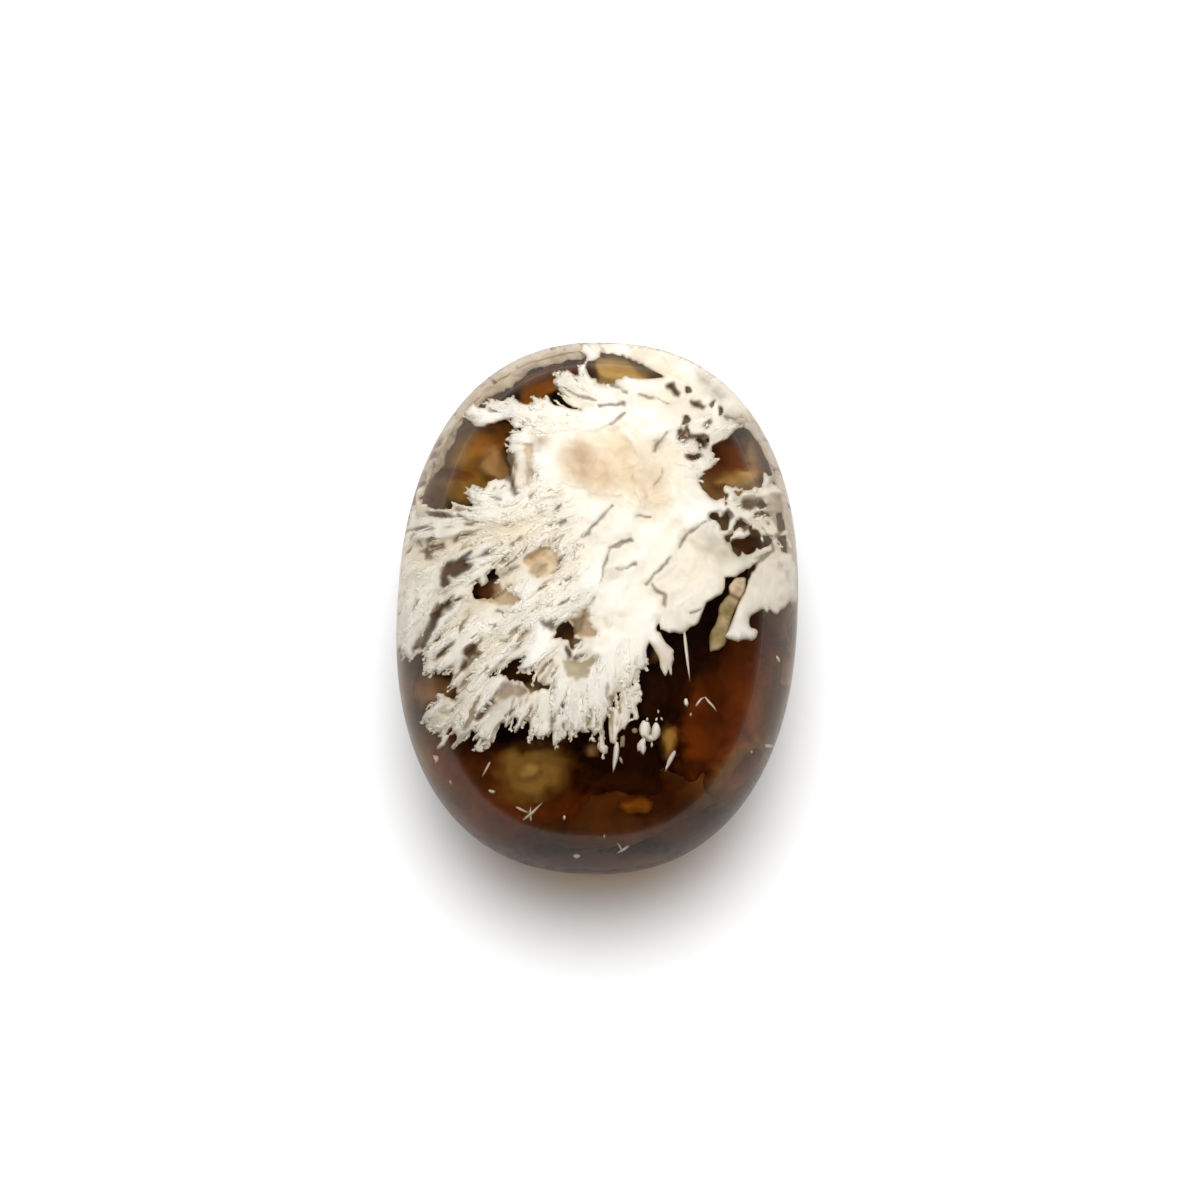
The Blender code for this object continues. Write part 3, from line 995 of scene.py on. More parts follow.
class Belt:
    """Grid around the stone's sides, in steps about as long as a pixel of the photograph."""

    ROUND = 1500.0
    HIGHEST_TILT = 32.0
    LOWEST_TILT = -64.0
    PER_DEGREE = 2.2

    def __init__(self, step):
        columns = int(self.ROUND / step)
        rows = int((self.HIGHEST_TILT - self.LOWEST_TILT) * self.PER_DEGREE / step)
        turns, falls = np.meshgrid(np.arange(columns) / columns, np.linspace(0, 1, rows))
        self.shape = turns.shape
        self.x = turns.ravel() * self.ROUND
        self.y = falls.ravel() * (self.HIGHEST_TILT - self.LOWEST_TILT) * self.PER_DEGREE
        turn = 2 * math.pi * turns.ravel() - math.pi / 2
        tilt = np.radians(self.HIGHEST_TILT - self.y / self.PER_DEGREE)
        rise = np.where(tilt > 0, HEIGHT - GIRDLE_HEIGHT, BELLY_DEPTH)
        ways = unit(np.stack([
            WIDTH / 2 * np.cos(turn) * np.cos(tilt),
            LENGTH / 2 * np.sin(turn) * np.cos(tilt),
            rise * np.sin(tilt),
        ], -1))
        self.surface = CORE + ways * reach(ways)[:, None]
        self.normals = surface_normal(self.surface)
        index = np.arange(columns * rows).reshape(rows, columns)
        index = np.concatenate([index, index[:, :1]], 1)
        self.triangles = index.ravel()[grid_triangles(columns + 1, rows)]
        self.below, self.limb_x, self.limb_y = self.find_limb()

    def find_limb(self):
        """How far each place lies below the photograph's limb, and the limb's pixel there."""
        rows, columns = self.shape
        facing = (self.normals * unit(EYE - self.surface)).sum(-1)
        hidden = facing.reshape(rows, columns) < LIMB_FACING
        at = np.maximum(hidden.argmax(0) - 1, 0) * columns + np.arange(columns)
        x, y = to_photo(self.surface[at])
        below = self.y.reshape(rows, columns) - self.y[at][None]
        return below.ravel(), np.tile(x, rows), np.tile(y, rows)

    def sink(self, depth):
        """Points this many millimetres below the surface, kept inside the stone."""
        return keep_inside(self.surface - self.normals * (depth * MM)[:, None])

    def noise(self, cell, seed, stretch=1.0):
        """Layered noise that closes on itself around the stone."""
        share = smooth_step(self.x, 0.85 * self.ROUND, self.ROUND)
        fall = self.y / stretch
        first = layered_noise(self.x, fall, cell, seed)
        second = layered_noise(self.x - self.ROUND, fall, cell, seed)
        return (first * (1 - share) + second * share) / np.hypot(share, 1 - share)

    def end_at_border(self, field, margin):
        """A field that also ends this far before the grid's upper and lower border."""
        return np.minimum(field, np.minimum(self.y, self.y.max() - self.y) - margin)


# Meshes

def new_mesh(name, points, faces):
    mesh = bpy.data.meshes.new(name)
    mesh.vertices.add(len(points))
    mesh.vertices.foreach_set("co", np.ascontiguousarray(points, np.float32).ravel())
    mesh.loops.add(faces.size)
    mesh.loops.foreach_set("vertex_index", faces.astype(np.int32).ravel())
    mesh.polygons.add(len(faces))
    mesh.polygons.foreach_set("loop_start", np.arange(0, faces.size, 3, dtype=np.int32))
    mesh.update(calc_edges=True)
    mesh.validate()
    mesh.shade_smooth()
    return mesh


def add_piece(mesh, material):
    mesh.materials.append(material)
    piece = bpy.data.objects.new(mesh.name, mesh)
    bpy.context.scene.collection.objects.link(piece)
    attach(piece, "root")
    return piece


def cut_sheet(triangles, field):
    """Triangles where the field is above zero, with new points where it crosses zero.

    Returns the triangles and, for each point, the two grid points it lies between and how far.
    """
    count = len(field)
    field = np.where(np.abs(field) < ON_A_POINT, -ON_A_POINT, field)
    inside = field > 0
    edges = {}
    pairs = []
    cut = []

    def crossing(p, q):
        key = (p, q) if p < q else (q, p)
        if key not in edges:
            edges[key] = count + len(pairs)
            pairs.append(key)
        return edges[key]

    corners = inside[triangles].sum(1)
    whole = triangles[corners == 3]
    for tri in triangles[(corners > 0) & (corners < 3)].tolist():
        while not (inside[tri[0]] and not inside[tri[2]]):
            tri = tri[1:] + tri[:1]
        a, b, c = tri
        if inside[b]:
            ca, bc = crossing(c, a), crossing(b, c)
            cut.append((a, b, bc))
            cut.append((a, bc, ca))
        else:
            ab, ca = crossing(a, b), crossing(c, a)
            cut.append((a, ab, ca))
    faces = np.concatenate([whole, np.array(cut, int).reshape(-1, 3)])
    pairs = np.array(pairs, int).reshape(-1, 2)
    share = field[pairs[:, 0]] / (field[pairs[:, 0]] - field[pairs[:, 1]])
    share = np.clip(share, NEAR_A_POINT, 1 - NEAR_A_POINT)
    first = np.concatenate([np.arange(count), pairs[:, 0]])
    second = np.concatenate([np.arange(count), pairs[:, 1]])
    share = np.concatenate([np.zeros(count), share])
    return faces, first, second, share[:, None]


def sheet_mesh(name, triangles, field, top, bottom, values):
    """Closed sheet between two layers of points that meet along its edge, and its points' values."""
    faces, first, second, share = cut_sheet(triangles, field)
    upper, lower, values = (
        layer[first] * (1 - share) + layer[second] * share for layer in (top, bottom, values)
    )
    rim = np.arange(len(first)) >= len(field)
    upper[rim] = (upper[rim] + lower[rim]) / 2
    under = np.where(rim, np.arange(len(first)), np.arange(len(first)) + len(first))
    faces = np.concatenate([faces, under[faces][:, ::-1]])
    used, faces = np.unique(faces, return_inverse=True)
    mesh = new_mesh(name, np.concatenate([upper, lower])[used], faces.reshape(-1, 3))
    return mesh, np.concatenate([values, values])[used]


def share_out(colours, count, **given):
    """The share of each colour at a number of places: nothing, where none is given."""
    return {kind: np.zeros(count) + given.get(kind, 0) for kind in colours}


def blend_in(shares, kind, weight):
    """Lay more of one colour over a mix of several."""
    for other in shares:
        shares[other] = shares[other] * (1 - weight)
    shares[kind] = shares[kind] + weight


def blend_noise(shares, grid, kind, strength, cell, seed, low, high):
    """Lay more of one colour over a mix where the grid's noise rises from low to high."""
    blend_in(shares, kind, strength * smooth_step(grid.noise(cell, seed), low, high))


def store_shares(mesh, shares, values):
    for column, kind in enumerate(shares):
        layer = mesh.attributes.new(kind, "FLOAT", "POINT")
        layer.data.foreach_set("value", np.ascontiguousarray(values[:, column], np.float32))


def add_sheet(name, grid, field, top, bottom, shares, material):
    """Piece made of a closed sheet between two depths, which ends where its field ends."""
    values = np.zeros((len(field), len(shares)))
    for column, share in enumerate(shares.values()):
        values[:, column] = share
    mesh, values = sheet_mesh(name, grid.triangles, field, grid.sink(top), grid.sink(bottom), values)
    store_shares(mesh, shares, values)
    add_piece(mesh, material)


def blades(paths, widths, thickness):
    """Closed tapering blades along paths of (x, y, depth): four-sided, with a pointed tip."""
    count, rings = paths.shape[:2]
    ahead = np.gradient(paths[..., :2], axis=1)
    ahead = ahead / (np.linalg.norm(ahead, axis=-1, keepdims=True) + HARDLY_ANY)
    beside = np.stack([-ahead[..., 1], ahead[..., 0]], -1)
    sides = []
    for across, up in ((1, 0), (0, -1), (-1, 0), (0, 1)):
        corner = paths[:, :-1].copy()
        corner[..., :2] += across * beside[:, :-1] * widths[:, :-1, None]
        corner[..., 2] += up * thickness * np.minimum(widths[:, :-1], 2)
        sides.append(corner)
    body = np.stack(sides, 2).reshape(count, -1, 3)
    points = np.concatenate([body, paths[:, -1:]], 1)
    faces = []
    for ring in range(rings - 2):
        for side in range(4):
            a, b = 4 * ring + side, 4 * ring + (side + 1) % 4
            faces += [(a, b, b + 4), (a, b + 4, a + 4)]
    last = 4 * (rings - 2)
    faces += [(last + side, last + (side + 1) % 4, 4 * (rings - 1)) for side in range(4)]
    faces += [(0, 2, 1), (0, 3, 2)]
    faces = np.array(faces)[None] + np.arange(count)[:, None, None] * points.shape[1]
    return points.reshape(-1, 3), faces.reshape(-1, 3)


def join_groups(groups):
    """Points and faces of several groups of blades, as one."""
    starts = np.cumsum([0] + [len(points) for points, _ in groups])
    points = np.concatenate([part for part, _ in groups])
    return points, np.concatenate([part + start for (_, part), start in zip(groups, starts)])


def add_blades(name, patch, points, faces, depth, shares, material):
    """Piece made of blades at places of the photograph and depths in millimetres."""
    mesh = new_mesh(name, patch.place(points[:, 0], points[:, 1], depth), faces)
    store_shares(mesh, shares, np.stack(list(shares.values()), -1))
    add_piece(mesh, material)


# Materials

def feed(tree, node, inputs):
    """Set a node's inputs, or link them where another node's output is given."""
    for key, value in inputs.items():
        if isinstance(value, bpy.types.NodeSocket):
            tree.links.new(value, node.inputs[key])
        else:
            node.inputs[key].default_value = value


def add_node(tree, kind, inputs, **settings):
    node = tree.nodes.new("ShaderNode" + kind)
    for key, value in settings.items():
        setattr(node, key, value)
    feed(tree, node, inputs)
    return node


def add_ramp(tree, factor, stops):
    """Output of a colour ramp through stops, each a position and a colour."""
    ramp = add_node(tree, "ValToRGB", {"Fac": factor})
    elements = ramp.color_ramp.elements
    for _ in range(len(stops) - 2):
        elements.new(0.5)
    for element, (position, colour) in zip(elements, stops):
        element.position = position
        element.color = (*colour, 1)
    return ramp.outputs["Color"]


def new_material(name, inputs):
    """Material with one shader, which has these inputs."""
    material = bpy.data.materials.new(name)
    material.use_nodes = True
    tree = material.node_tree
    shader = tree.nodes["Principled BSDF"]
    feed(tree, shader, inputs)
    return material, tree, shader


def agate_material():
    """Clear polished stone, which takes most out of blue light and least out of red."""
    material, tree, _ = new_material("clear_brown_agate", {
        "Base Color": (1, 1, 1, 1),
        "Roughness": POLISH_ROUGHNESS,
        "IOR": REFRACTIVE_INDEX,
        "Transmission Weight": 1.0,
    })
    density = max(ABSORPTION)
    passed = [1 - share / density for share in ABSORPTION]
    volume = add_node(tree, "VolumeAbsorption", {"Color": (*passed, 1), "Density": density})
    feed(tree, tree.nodes["Material Output"], {"Volume": volume.outputs["Volume"]})
    return material


def matt_mineral(name, cell, detail, distortion):
    """Matt mineral with fine grain, and the noise that its colour follows."""
    dull = {"Roughness": MATT_ROUGHNESS, "Specular IOR Level": MINERAL_SHINE}
    material, tree, shader = new_material(name, dull)
    place = add_node(tree, "TexCoord", {}).outputs["Object"]
    noise = {"Vector": place, "Scale": 1 / cell, "Detail": detail, "Distortion": distortion}
    noise = add_node(tree, "TexNoise", noise)
    grain = {"Vector": place, "Scale": 1 / GRAIN_CELL, "Detail": GRAIN_DETAIL}
    grain = add_node(tree, "TexNoise", grain).outputs["Fac"]
    relief = {"Strength": GRAIN_STRENGTH, "Distance": GRAIN_HEIGHT, "Height": grain}
    relief = add_node(tree, "Bump", relief)
    feed(tree, shader, {"Normal": relief.outputs["Normal"]})
    return material, tree, shader, noise.outputs["Fac"]


def iron_material(name, stops):
    """Matt mineral whose colour wanders between the stops."""
    material, tree, shader, noise = matt_mineral(name, IRON_CELL, 6, 1.5)
    feed(tree, shader, {"Base Color": add_ramp(tree, noise, stops)})
    return material


def blended_material(name, colours, cell, detail, distortion):
    """Matt mineral whose colour is a mix of several, each by the share stored on the mesh."""
    material, tree, shader, noise = matt_mineral(name, cell, detail, distortion)
    total = None
    for kind, (dark, light) in colours.items():
        ramp = add_ramp(tree, noise, ((DARKEST_AT, dark), (LIGHTEST_AT, light)))
        share = add_node(tree, "Attribute", {}, attribute_name=kind).outputs["Fac"]
        part = add_node(tree, "VectorMath", {0: ramp, "Scale": share}, operation="SCALE")
        if total is None:
            total = part.outputs["Vector"]
        else:
            total = add_node(tree, "VectorMath", {0: total, 1: part.outputs["Vector"]})
            total = total.outputs["Vector"]
    feed(tree, shader, {"Base Color": total})
    return material


# The clear body

def make_body():
    """The whole clear stone, with an underside that blends into its flat."""
    ways, faces = sphere_ways(subdivisions=7)
    points = ways * reach(ways)[:, None] + CORE
    z = points[:, 2]
    overlap = np.maximum(FLAT_BLEND + z, 0)
    points[:, 2] = np.where(z > FLAT_BLEND, z, overlap * overlap / (4 * FLAT_BLEND))
    body = add_piece(new_mesh("agate_body", points, faces), agate_material())
    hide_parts("moss_agate")


# The plumes

def plume_field(x, y):
    """Distance in from the edge of the plumes, below zero in their gaps."""
    field = inside_distance(x, y, PLUME_EDGE, FROND_EDGE, CLAW, CHANNEL)
    return np.minimum(field, -inside_distance(x, y, *GAPS.values()))


def crack_weight(x, y, cracks, seed, spread=0.0):
    """One along the middle of the cracks and nothing away from them, with wandering edges."""
    at_x = x + CRACK_WARP * layered_noise(x, y, 16, seed)
    at_y = y + CRACK_WARP * layered_noise(x, y, 16, seed + 9)
    thick = 0.75 + 0.9 * layered_noise(x, y, 10, seed + 18)
    weight = np.zeros(x.shape)
    for width, lines in cracks.items():
        half = width * 0.42 * thick + 0.5 + spread
        for line in lines:
            inside = half - line_distance(at_x, at_y, line)
            weight = np.maximum(weight, smooth_step(inside, -0.8 - spread, 1.3))
    return weight


def spot_weight(x, y, place, size, tilt, ragged, seed):
    """One inside a tilted oval with ragged soft edges, and nothing outside it."""
    warp_x = x + ragged * layered_noise(x, y, 3 * ragged + 4, seed) - place[0]
    warp_y = y + ragged * layered_noise(x, y, 3 * ragged + 4, seed + 50) - place[1]
    along, across = turned(warp_x, warp_y, tilt)
    wisps = 0.12 * layered_noise(x, y, 9, seed + 90)
    return smooth_step(1.15 - np.hypot(along / size[0], across / size[1]) + wisps, 0, 0.6)


def plume_shape(patch):
    """What the plumes and the tissue behind them have in common, at each place of a patch."""
    field = plume_field(patch.x, patch.y)
    barbs = streak_noise(patch.x, patch.y, *BARBS)
    coral = smooth_step(patch.inside(CORAL_EDGE), -4, 8)
    return field, barbs, coral


def find_slits(x, y, field, streak):
    """One in the narrow slits between the barbs, and nothing away from them."""
    slits = smooth_step(streak_noise(x, y, *SLITS), 1.5, 2.4)
    slits = np.maximum(slits, 0.9 * smooth_step(streak_noise(x, y, *FINE_SLITS), 1.3, 2.2))
    return slits * smooth_step(streak, 0.3, 0.8) * smooth_step(field, -1, 5)


def find_stains(patch, barbs):
    """The stains' colours and weights, the plumes' dip in them, and their cover of each place."""
    ragged = 2.0 * patch.noise(8, 600) + 0.9 * barbs
    stains = []
    dips = covered = np.zeros(len(patch.x))
    for kind, strength, dip, outline in STAINS:
        blur = STAIN_BLUR if dip > SHALLOW_DIP else SHALLOW_STAIN_BLUR
        weight = strength * smooth_step(patch.inside(outline) + ragged, -blur, blur)
        stains.append((kind, weight))
        dips = np.maximum(dips, dip * weight)
        covered = np.maximum(covered, weight)
    return stains, dips, covered


def make_plumes(material):
    """The white plumes, with relief along their growth, and holes, slits, cracks and stains."""
    patch = Patch(*PLUMES_FRAME, PLUMES_STEP)
    x, y = patch.x, patch.y
    field, barbs, coral = plume_shape(patch)
    _, _, streak = growth_at(x, y)
    slits = find_slits(x, y, field, streak)
    veins = 5.8 - 9 * np.abs(smooth_noise(x, y, 11, 61) + 0.5 * smooth_noise(x, y, 6, 62))
    veins = veins * coral + 9 * (1 - coral)
    fine = streak_noise(x, y, *FINE_COMB)
    lobes = streak_noise(x, y, *LOBES)
    edge = np.minimum(field + streak * (1.0 * fine + 1.3 * barbs), veins)
    specks = smooth_step(patch.inside(SPECKLED_EDGE), -4, 8)
    specks = specks * smooth_step(smooth_noise(x, y, 7, 63) + 0.5 * smooth_noise(x, y, 4, 64), 0.35, 0.8)
    edge = patch.end_at_limb(np.minimum(edge, 9 - 11 * specks), PLUMES_FACING)
    cracks = crack_weight(x, y, CRACKS, CRACK_SEED)
    # The band beside the cracks: the plumes dip there a little, and painted shade lies on it.
    shade_beside_cracks = crack_weight(x - CRACK_SHADE, y - CRACK_SHADE, CRACKS, CRACK_SEED, 4.0)
    ridges = crack_weight(x, y, RIDGES, RIDGE_SEED)
    soft = cushion(edge, 6)
    broad = cushion(edge, 14)
    rough = 0.25 + streak
    relief = 0.01 * fine * rough + 0.035 * barbs * rough + 0.12 * lobes * rough
    relief = relief + 0.14 * patch.noise(24, 41) + 0.05 * patch.noise(7, 44)
    window = smooth_step(patch.inside(CREAM_WINDOW) + 5 * patch.noise(14, 31), -2, 9)
    level = PLUME_DEPTH - 0.20 * broad - 0.16 * soft - relief * soft + 0.22 * window
    level = level + 0.15 * slits + 0.20 * cracks + 0.06 * shade_beside_cracks - 0.12 * ridges
    stains, dips, covered = find_stains(patch, barbs)
    level = np.maximum(level + dips, LEAST_DEPTH)
    shares = share_out(PLUME_COLOURS, len(x), white=1)
    for seed, (*oval, kind, strength) in enumerate(TINTS, TINT_SEED):
        blend_in(shares, kind, spot_weight(x, y, *oval, seed) * strength)
    blend_in(shares, "white", 0.7 * ridges)
    # Painted shade: tan laid in the hollows between the barbs.
    blend_in(shares, "tan", 0.10 * streak * smooth_step(-barbs, 0.2, 1.6))
    blend_noise(shares, patch, "pale", 0.45, 20, 45, 0.0, 0.8)
    # Painted shade: tan laid along the plumes' edges.
    blend_in(shares, "tan", 0.30 * (1 - smooth_step(edge, 0, 3.5)))
    # Painted shade: pale grey laid in the band beside the cracks.
    blend_in(shares, "pale", 0.35 * shade_beside_cracks)
    blend_in(shares, "tan", 0.55 * smooth_step(slits, 0.1, 0.5))
    blend_in(shares, "brown", 0.55 * smooth_step(slits, 0.4, 0.9))
    blend_in(shares, "brown", 0.65 * cracks)
    for kind, weight in stains:
        blend_in(shares, kind, weight)
    bottom = level + 0.12 + 0.5 * soft
    add_sheet("top_plumes", patch, edge, level, bottom, shares, material)
    make_backing(material)
    inner = np.minimum(np.minimum(field, veins), 9 * (0.6 - slits))
    inner = np.minimum(inner, 12 * (0.35 - covered))
    make_fronds(patch, inner, level, streak, material)


def make_backing(material):
    """Tissue under the feathers, which shows in their deeper slits."""
    patch = Patch(*PLUMES_FRAME, BACKING_STEP)
    field, barbs, coral = plume_shape(patch)
    edge = np.minimum(field - 1.5 + 0.8 * barbs, 9 - 14 * coral)
    edge = patch.end_at_limb(edge, PLUMES_FACING)
    soft = cushion(edge, 8)
    level = BACKING_DEPTH + 0.18 * patch.noise(26, 51)
    top = level + 0.2 - 0.2 * soft
    bottom = level + 0.25 + 0.4 * soft
    shares = share_out(PLUME_COLOURS, len(edge), tan=1)
    blend_noise(shares, patch, "brown", 1, 22, 52, -0.3, 0.5)
    add_sheet("plume_backing", patch, edge, top, bottom, shares, material)


def grow_stems(rng, patch, field, x, y, scale, beyond):
    """Paths from these places along the growth, each up to where the plumes end."""
    count, last = len(x), len(STEM_TAPER) - 1
    length = scale * rng.uniform(*STEM_LENGTH, count)
    swing = rng.uniform(-STEM_SWING, STEM_SWING, count)
    stems = np.zeros((count, last + 1, 3))
    at_x, at_y = x.copy(), y.copy()
    alive = np.ones(count, bool)
    for step in range(last + 1):
        stems[:, step, 0], stems[:, step, 1] = at_x, at_y
        stems[:, step, 2] = 0.05 - 0.08 * step / last
        along, across, _ = growth_at(at_x, at_y)
        angle = np.arctan2(across, along) + swing
        stride = length / last * alive
        next_x, next_y = at_x + stride * np.cos(angle), at_y + stride * np.sin(angle)
        alive &= patch.look_up(field, next_x, next_y) > -beyond
        at_x, at_y = np.where(alive, next_x, at_x), np.where(alive, next_y, at_y)
    reached = np.hypot(stems[:, -1, 0] - x, stems[:, -1, 1] - y)
    return stems[reached > SHORTEST_STEM * scale]


def grow_barbs(rng, stems, share, side, scale):
    """One barb for each stem, which starts this share along it and curls off to one side."""
    count, stem_points = stems.shape[:2]
    at = share * (stem_points - 1)
    i = np.minimum(at.astype(int), stem_points - 2)
    t = (at - i)[:, None]
    rows = np.arange(count)
    start = stems[rows, i] * (1 - t) + stems[rows, i + 1] * t
    heading = stems[rows, i + 1] - stems[rows, i]
    heading = np.arctan2(heading[:, 1], heading[:, 0] + HARDLY_ANY)
    angle = heading + side * rng.uniform(*BARB_ANGLE, count)
    reach_out = scale * rng.uniform(*BARB_LENGTH, count) * (1.05 - 0.6 * share)
    last = len(BARB_TAPER) - 1
    barbs = np.zeros((count, last + 1, 3))
    for step in range(last + 1):
        part = step / last
        turn = angle - side * BARB_CURL * part
        barbs[:, step, 0] = start[:, 0] + reach_out * part * np.cos(turn)
        barbs[:, step, 1] = start[:, 1] + reach_out * part * np.sin(turn)
        barbs[:, step, 2] = start[:, 2] + 0.02 - 0.05 * part * rng.uniform(-0.3, 1, count)
    return barbs


def grow_fronds(rng, patch, field, streak, scale, pitch, per_side, within, beyond):
    """Feathers of one size: a stem along the growth, with barbs that curl off both sides."""
    left, top, right, bottom = FRONDS_FRAME
    x, y = np.meshgrid(np.arange(left, right, pitch), np.arange(top, bottom, pitch))
    x = (x + rng.uniform(-0.5, 0.5, x.shape) * pitch).ravel()
    y = (y + rng.uniform(-0.5, 0.5, y.shape) * pitch).ravel()
    keep = (patch.look_up(field, x, y) > 1) & (patch.look_up(streak, x, y) > FRONDS_STREAK)
    keep &= patch.look_up(field, x, y) < within
    keep &= patch.look_up(patch.facing, x, y) > FRONDS_FACING
    keep &= inside_distance(x, y, CREAM_WINDOW) < 2
    stems = grow_stems(rng, patch, field, x[keep], y[keep], scale, beyond)
    count = len(stems)
    width = scale * rng.uniform(*STEM_WIDTH, count)[:, None] * STEM_TAPER
    groups = [blades(stems, width, FROND_THICKNESS)]
    for side in (1, -1):
        for number in range(per_side):
            share = (number + rng.uniform(0.2, 0.8, count)) / per_side
            barbs = grow_barbs(rng, stems, share, side, scale)
            good = patch.look_up(field, barbs[:, -1, 0], barbs[:, -1, 1]) > -BARB_OVERHANG - beyond
            width = scale * rng.uniform(*BARB_WIDTH, count)[:, None] * BARB_TAPER
            groups.append(blades(barbs[good], width[good], FROND_THICKNESS))
    return groups


def make_fronds(patch, field, level, streak, material):
    """Small feathers over the plumes, and a fringe of finer ones along their edges."""
    rng = np.random.default_rng(FROND_SEED)
    groups = []
    for size in FROND_SIZES:
        groups += grow_fronds(rng, patch, field, streak, *size)
    points, faces = join_groups(groups)
    depth = points[:, 2] + patch.look_up(level, points[:, 0], points[:, 1])
    depth = np.maximum(depth, LEAST_DEPTH)
    shares = share_out(PLUME_COLOURS, len(points), white=0.75, pale=0.25)
    add_blades("plume_fronds", patch, points, faces, depth, shares, material)


def make_veils(material):
    """Thin pale tissue along the upper rim."""
    patch = Patch(*VEILS_FRAME, VEILS_STEP)
    comb = streak_noise(patch.x, patch.y, *VEIL_COMB)
    field = patch.inside(*VEILS)
    field = field + 0.5 * comb + 5 * patch.noise(26, 94) + 1.5 * patch.noise(8, 95)
    edge = np.minimum(field, 1.5 - plume_field(patch.x, patch.y))
    edge = np.minimum(edge, 60 * (patch.facing - PLUMES_FACING))
    soft = cushion(edge, 6)
    level = VEIL_DEPTH - 0.15 * soft - 0.10 * comb * soft + 0.10 * patch.noise(20, 92)
    shares = share_out(PLUME_COLOURS, len(edge), veil=1)
    blend_noise(shares, patch, "pale", 0.3, 15, 93, -0.1, 0.6)
    blend_in(shares, "brown", 0.35 * (1 - smooth_step(edge, 0, 6)))
    bottom = level + 0.1 + 0.3 * soft
    add_sheet("rim_veils", patch, edge, level, bottom, shares, material)


def make_stick(material):
    """The olive prism in the dark gap between the right lobes."""
    patch = Patch(*STICK_FRAME, STICK_STEP)
    edge = patch.inside(STICK) + 0.8 * patch.noise(7, 81)
    soft = cushion(edge, 5)
    ridge = smooth_step(line_distance(patch.x, patch.y, STICK_LINE), 3.5, 0)
    level = PLUME_DEPTH - 0.22 * soft + 0.12 * patch.noise(11, 82) + 0.12 * ridge
    shares = share_out(PLUME_COLOURS, len(edge), olive=1)
    blend_in(shares, "peach", smooth_step(patch.y, 600, 586))
    blend_noise(shares, patch, "tan", 0.6, 13, 83, 0.0, 0.5)
    blend_in(shares, "brown", 0.7 * ridge + 0.4 * (1 - smooth_step(edge, 0, 2.5)))
    bottom = level + 0.15 + 0.7 * soft
    add_sheet("olive_prism", patch, edge, level, bottom, shares, material)


def make_needles(material):
    """Loose needles and flecks in the clear stone."""
    patch = Patch(*NEEDLES_FRAME, NEEDLES_STEP)
    groups = []
    for width, depth, line in NEEDLES:
        line = np.array(line, float)
        distance = np.concatenate([[0], np.cumsum(np.hypot(*np.diff(line, axis=0).T))])
        at = np.linspace(0, distance[-1], len(NEEDLE_TAPER))
        x, y = (np.interp(at, distance, axis) for axis in line.T)
        path = np.stack([x, y, np.full(len(at), depth)], -1)[None]
        groups.append(blades(path, np.array([NEEDLE_TAPER]) * width / 2, NEEDLE_THICKNESS))
    rng = np.random.default_rng(FLECK_SEED)
    for x, y, half_x, half_y, depth in FLECKS:
        for _ in range(3 if half_x > WIDE_FLECK else 1):
            angle = rng.uniform(-0.5, 0.5) + (0 if half_y > half_x else 1.4)
            way = np.array([math.sin(angle), math.cos(angle)])
            middle = np.array([x, y]) + rng.uniform(-0.35, 0.35, 2) * (half_x, half_y)
            at = np.linspace(-1, 1, len(FLECK_TAPER))[:, None]
            path = middle + at * way * max(half_x, half_y)
            path = np.concatenate([path, np.full((len(at), 1), depth)], 1)[None]
            profile = np.array([FLECK_TAPER]) * min(half_x, half_y) * 0.8
            groups.append(blades(path, profile, NEEDLE_THICKNESS))
    points, faces = join_groups(groups)
    faint = smooth_step(points[:, 2], 0.55, 0.75)
    shares = share_out(
        PLUME_COLOURS, len(points), white=0.7 * (1 - faint), pale=0.3 * (1 - faint),
        peach=0.25 * faint, veil=0.75 * faint,
    )
    depth = np.maximum(points[:, 2], LEAST_NEEDLE_DEPTH)
    add_blades("loose_needles", patch, points, faces, depth, shares, material)


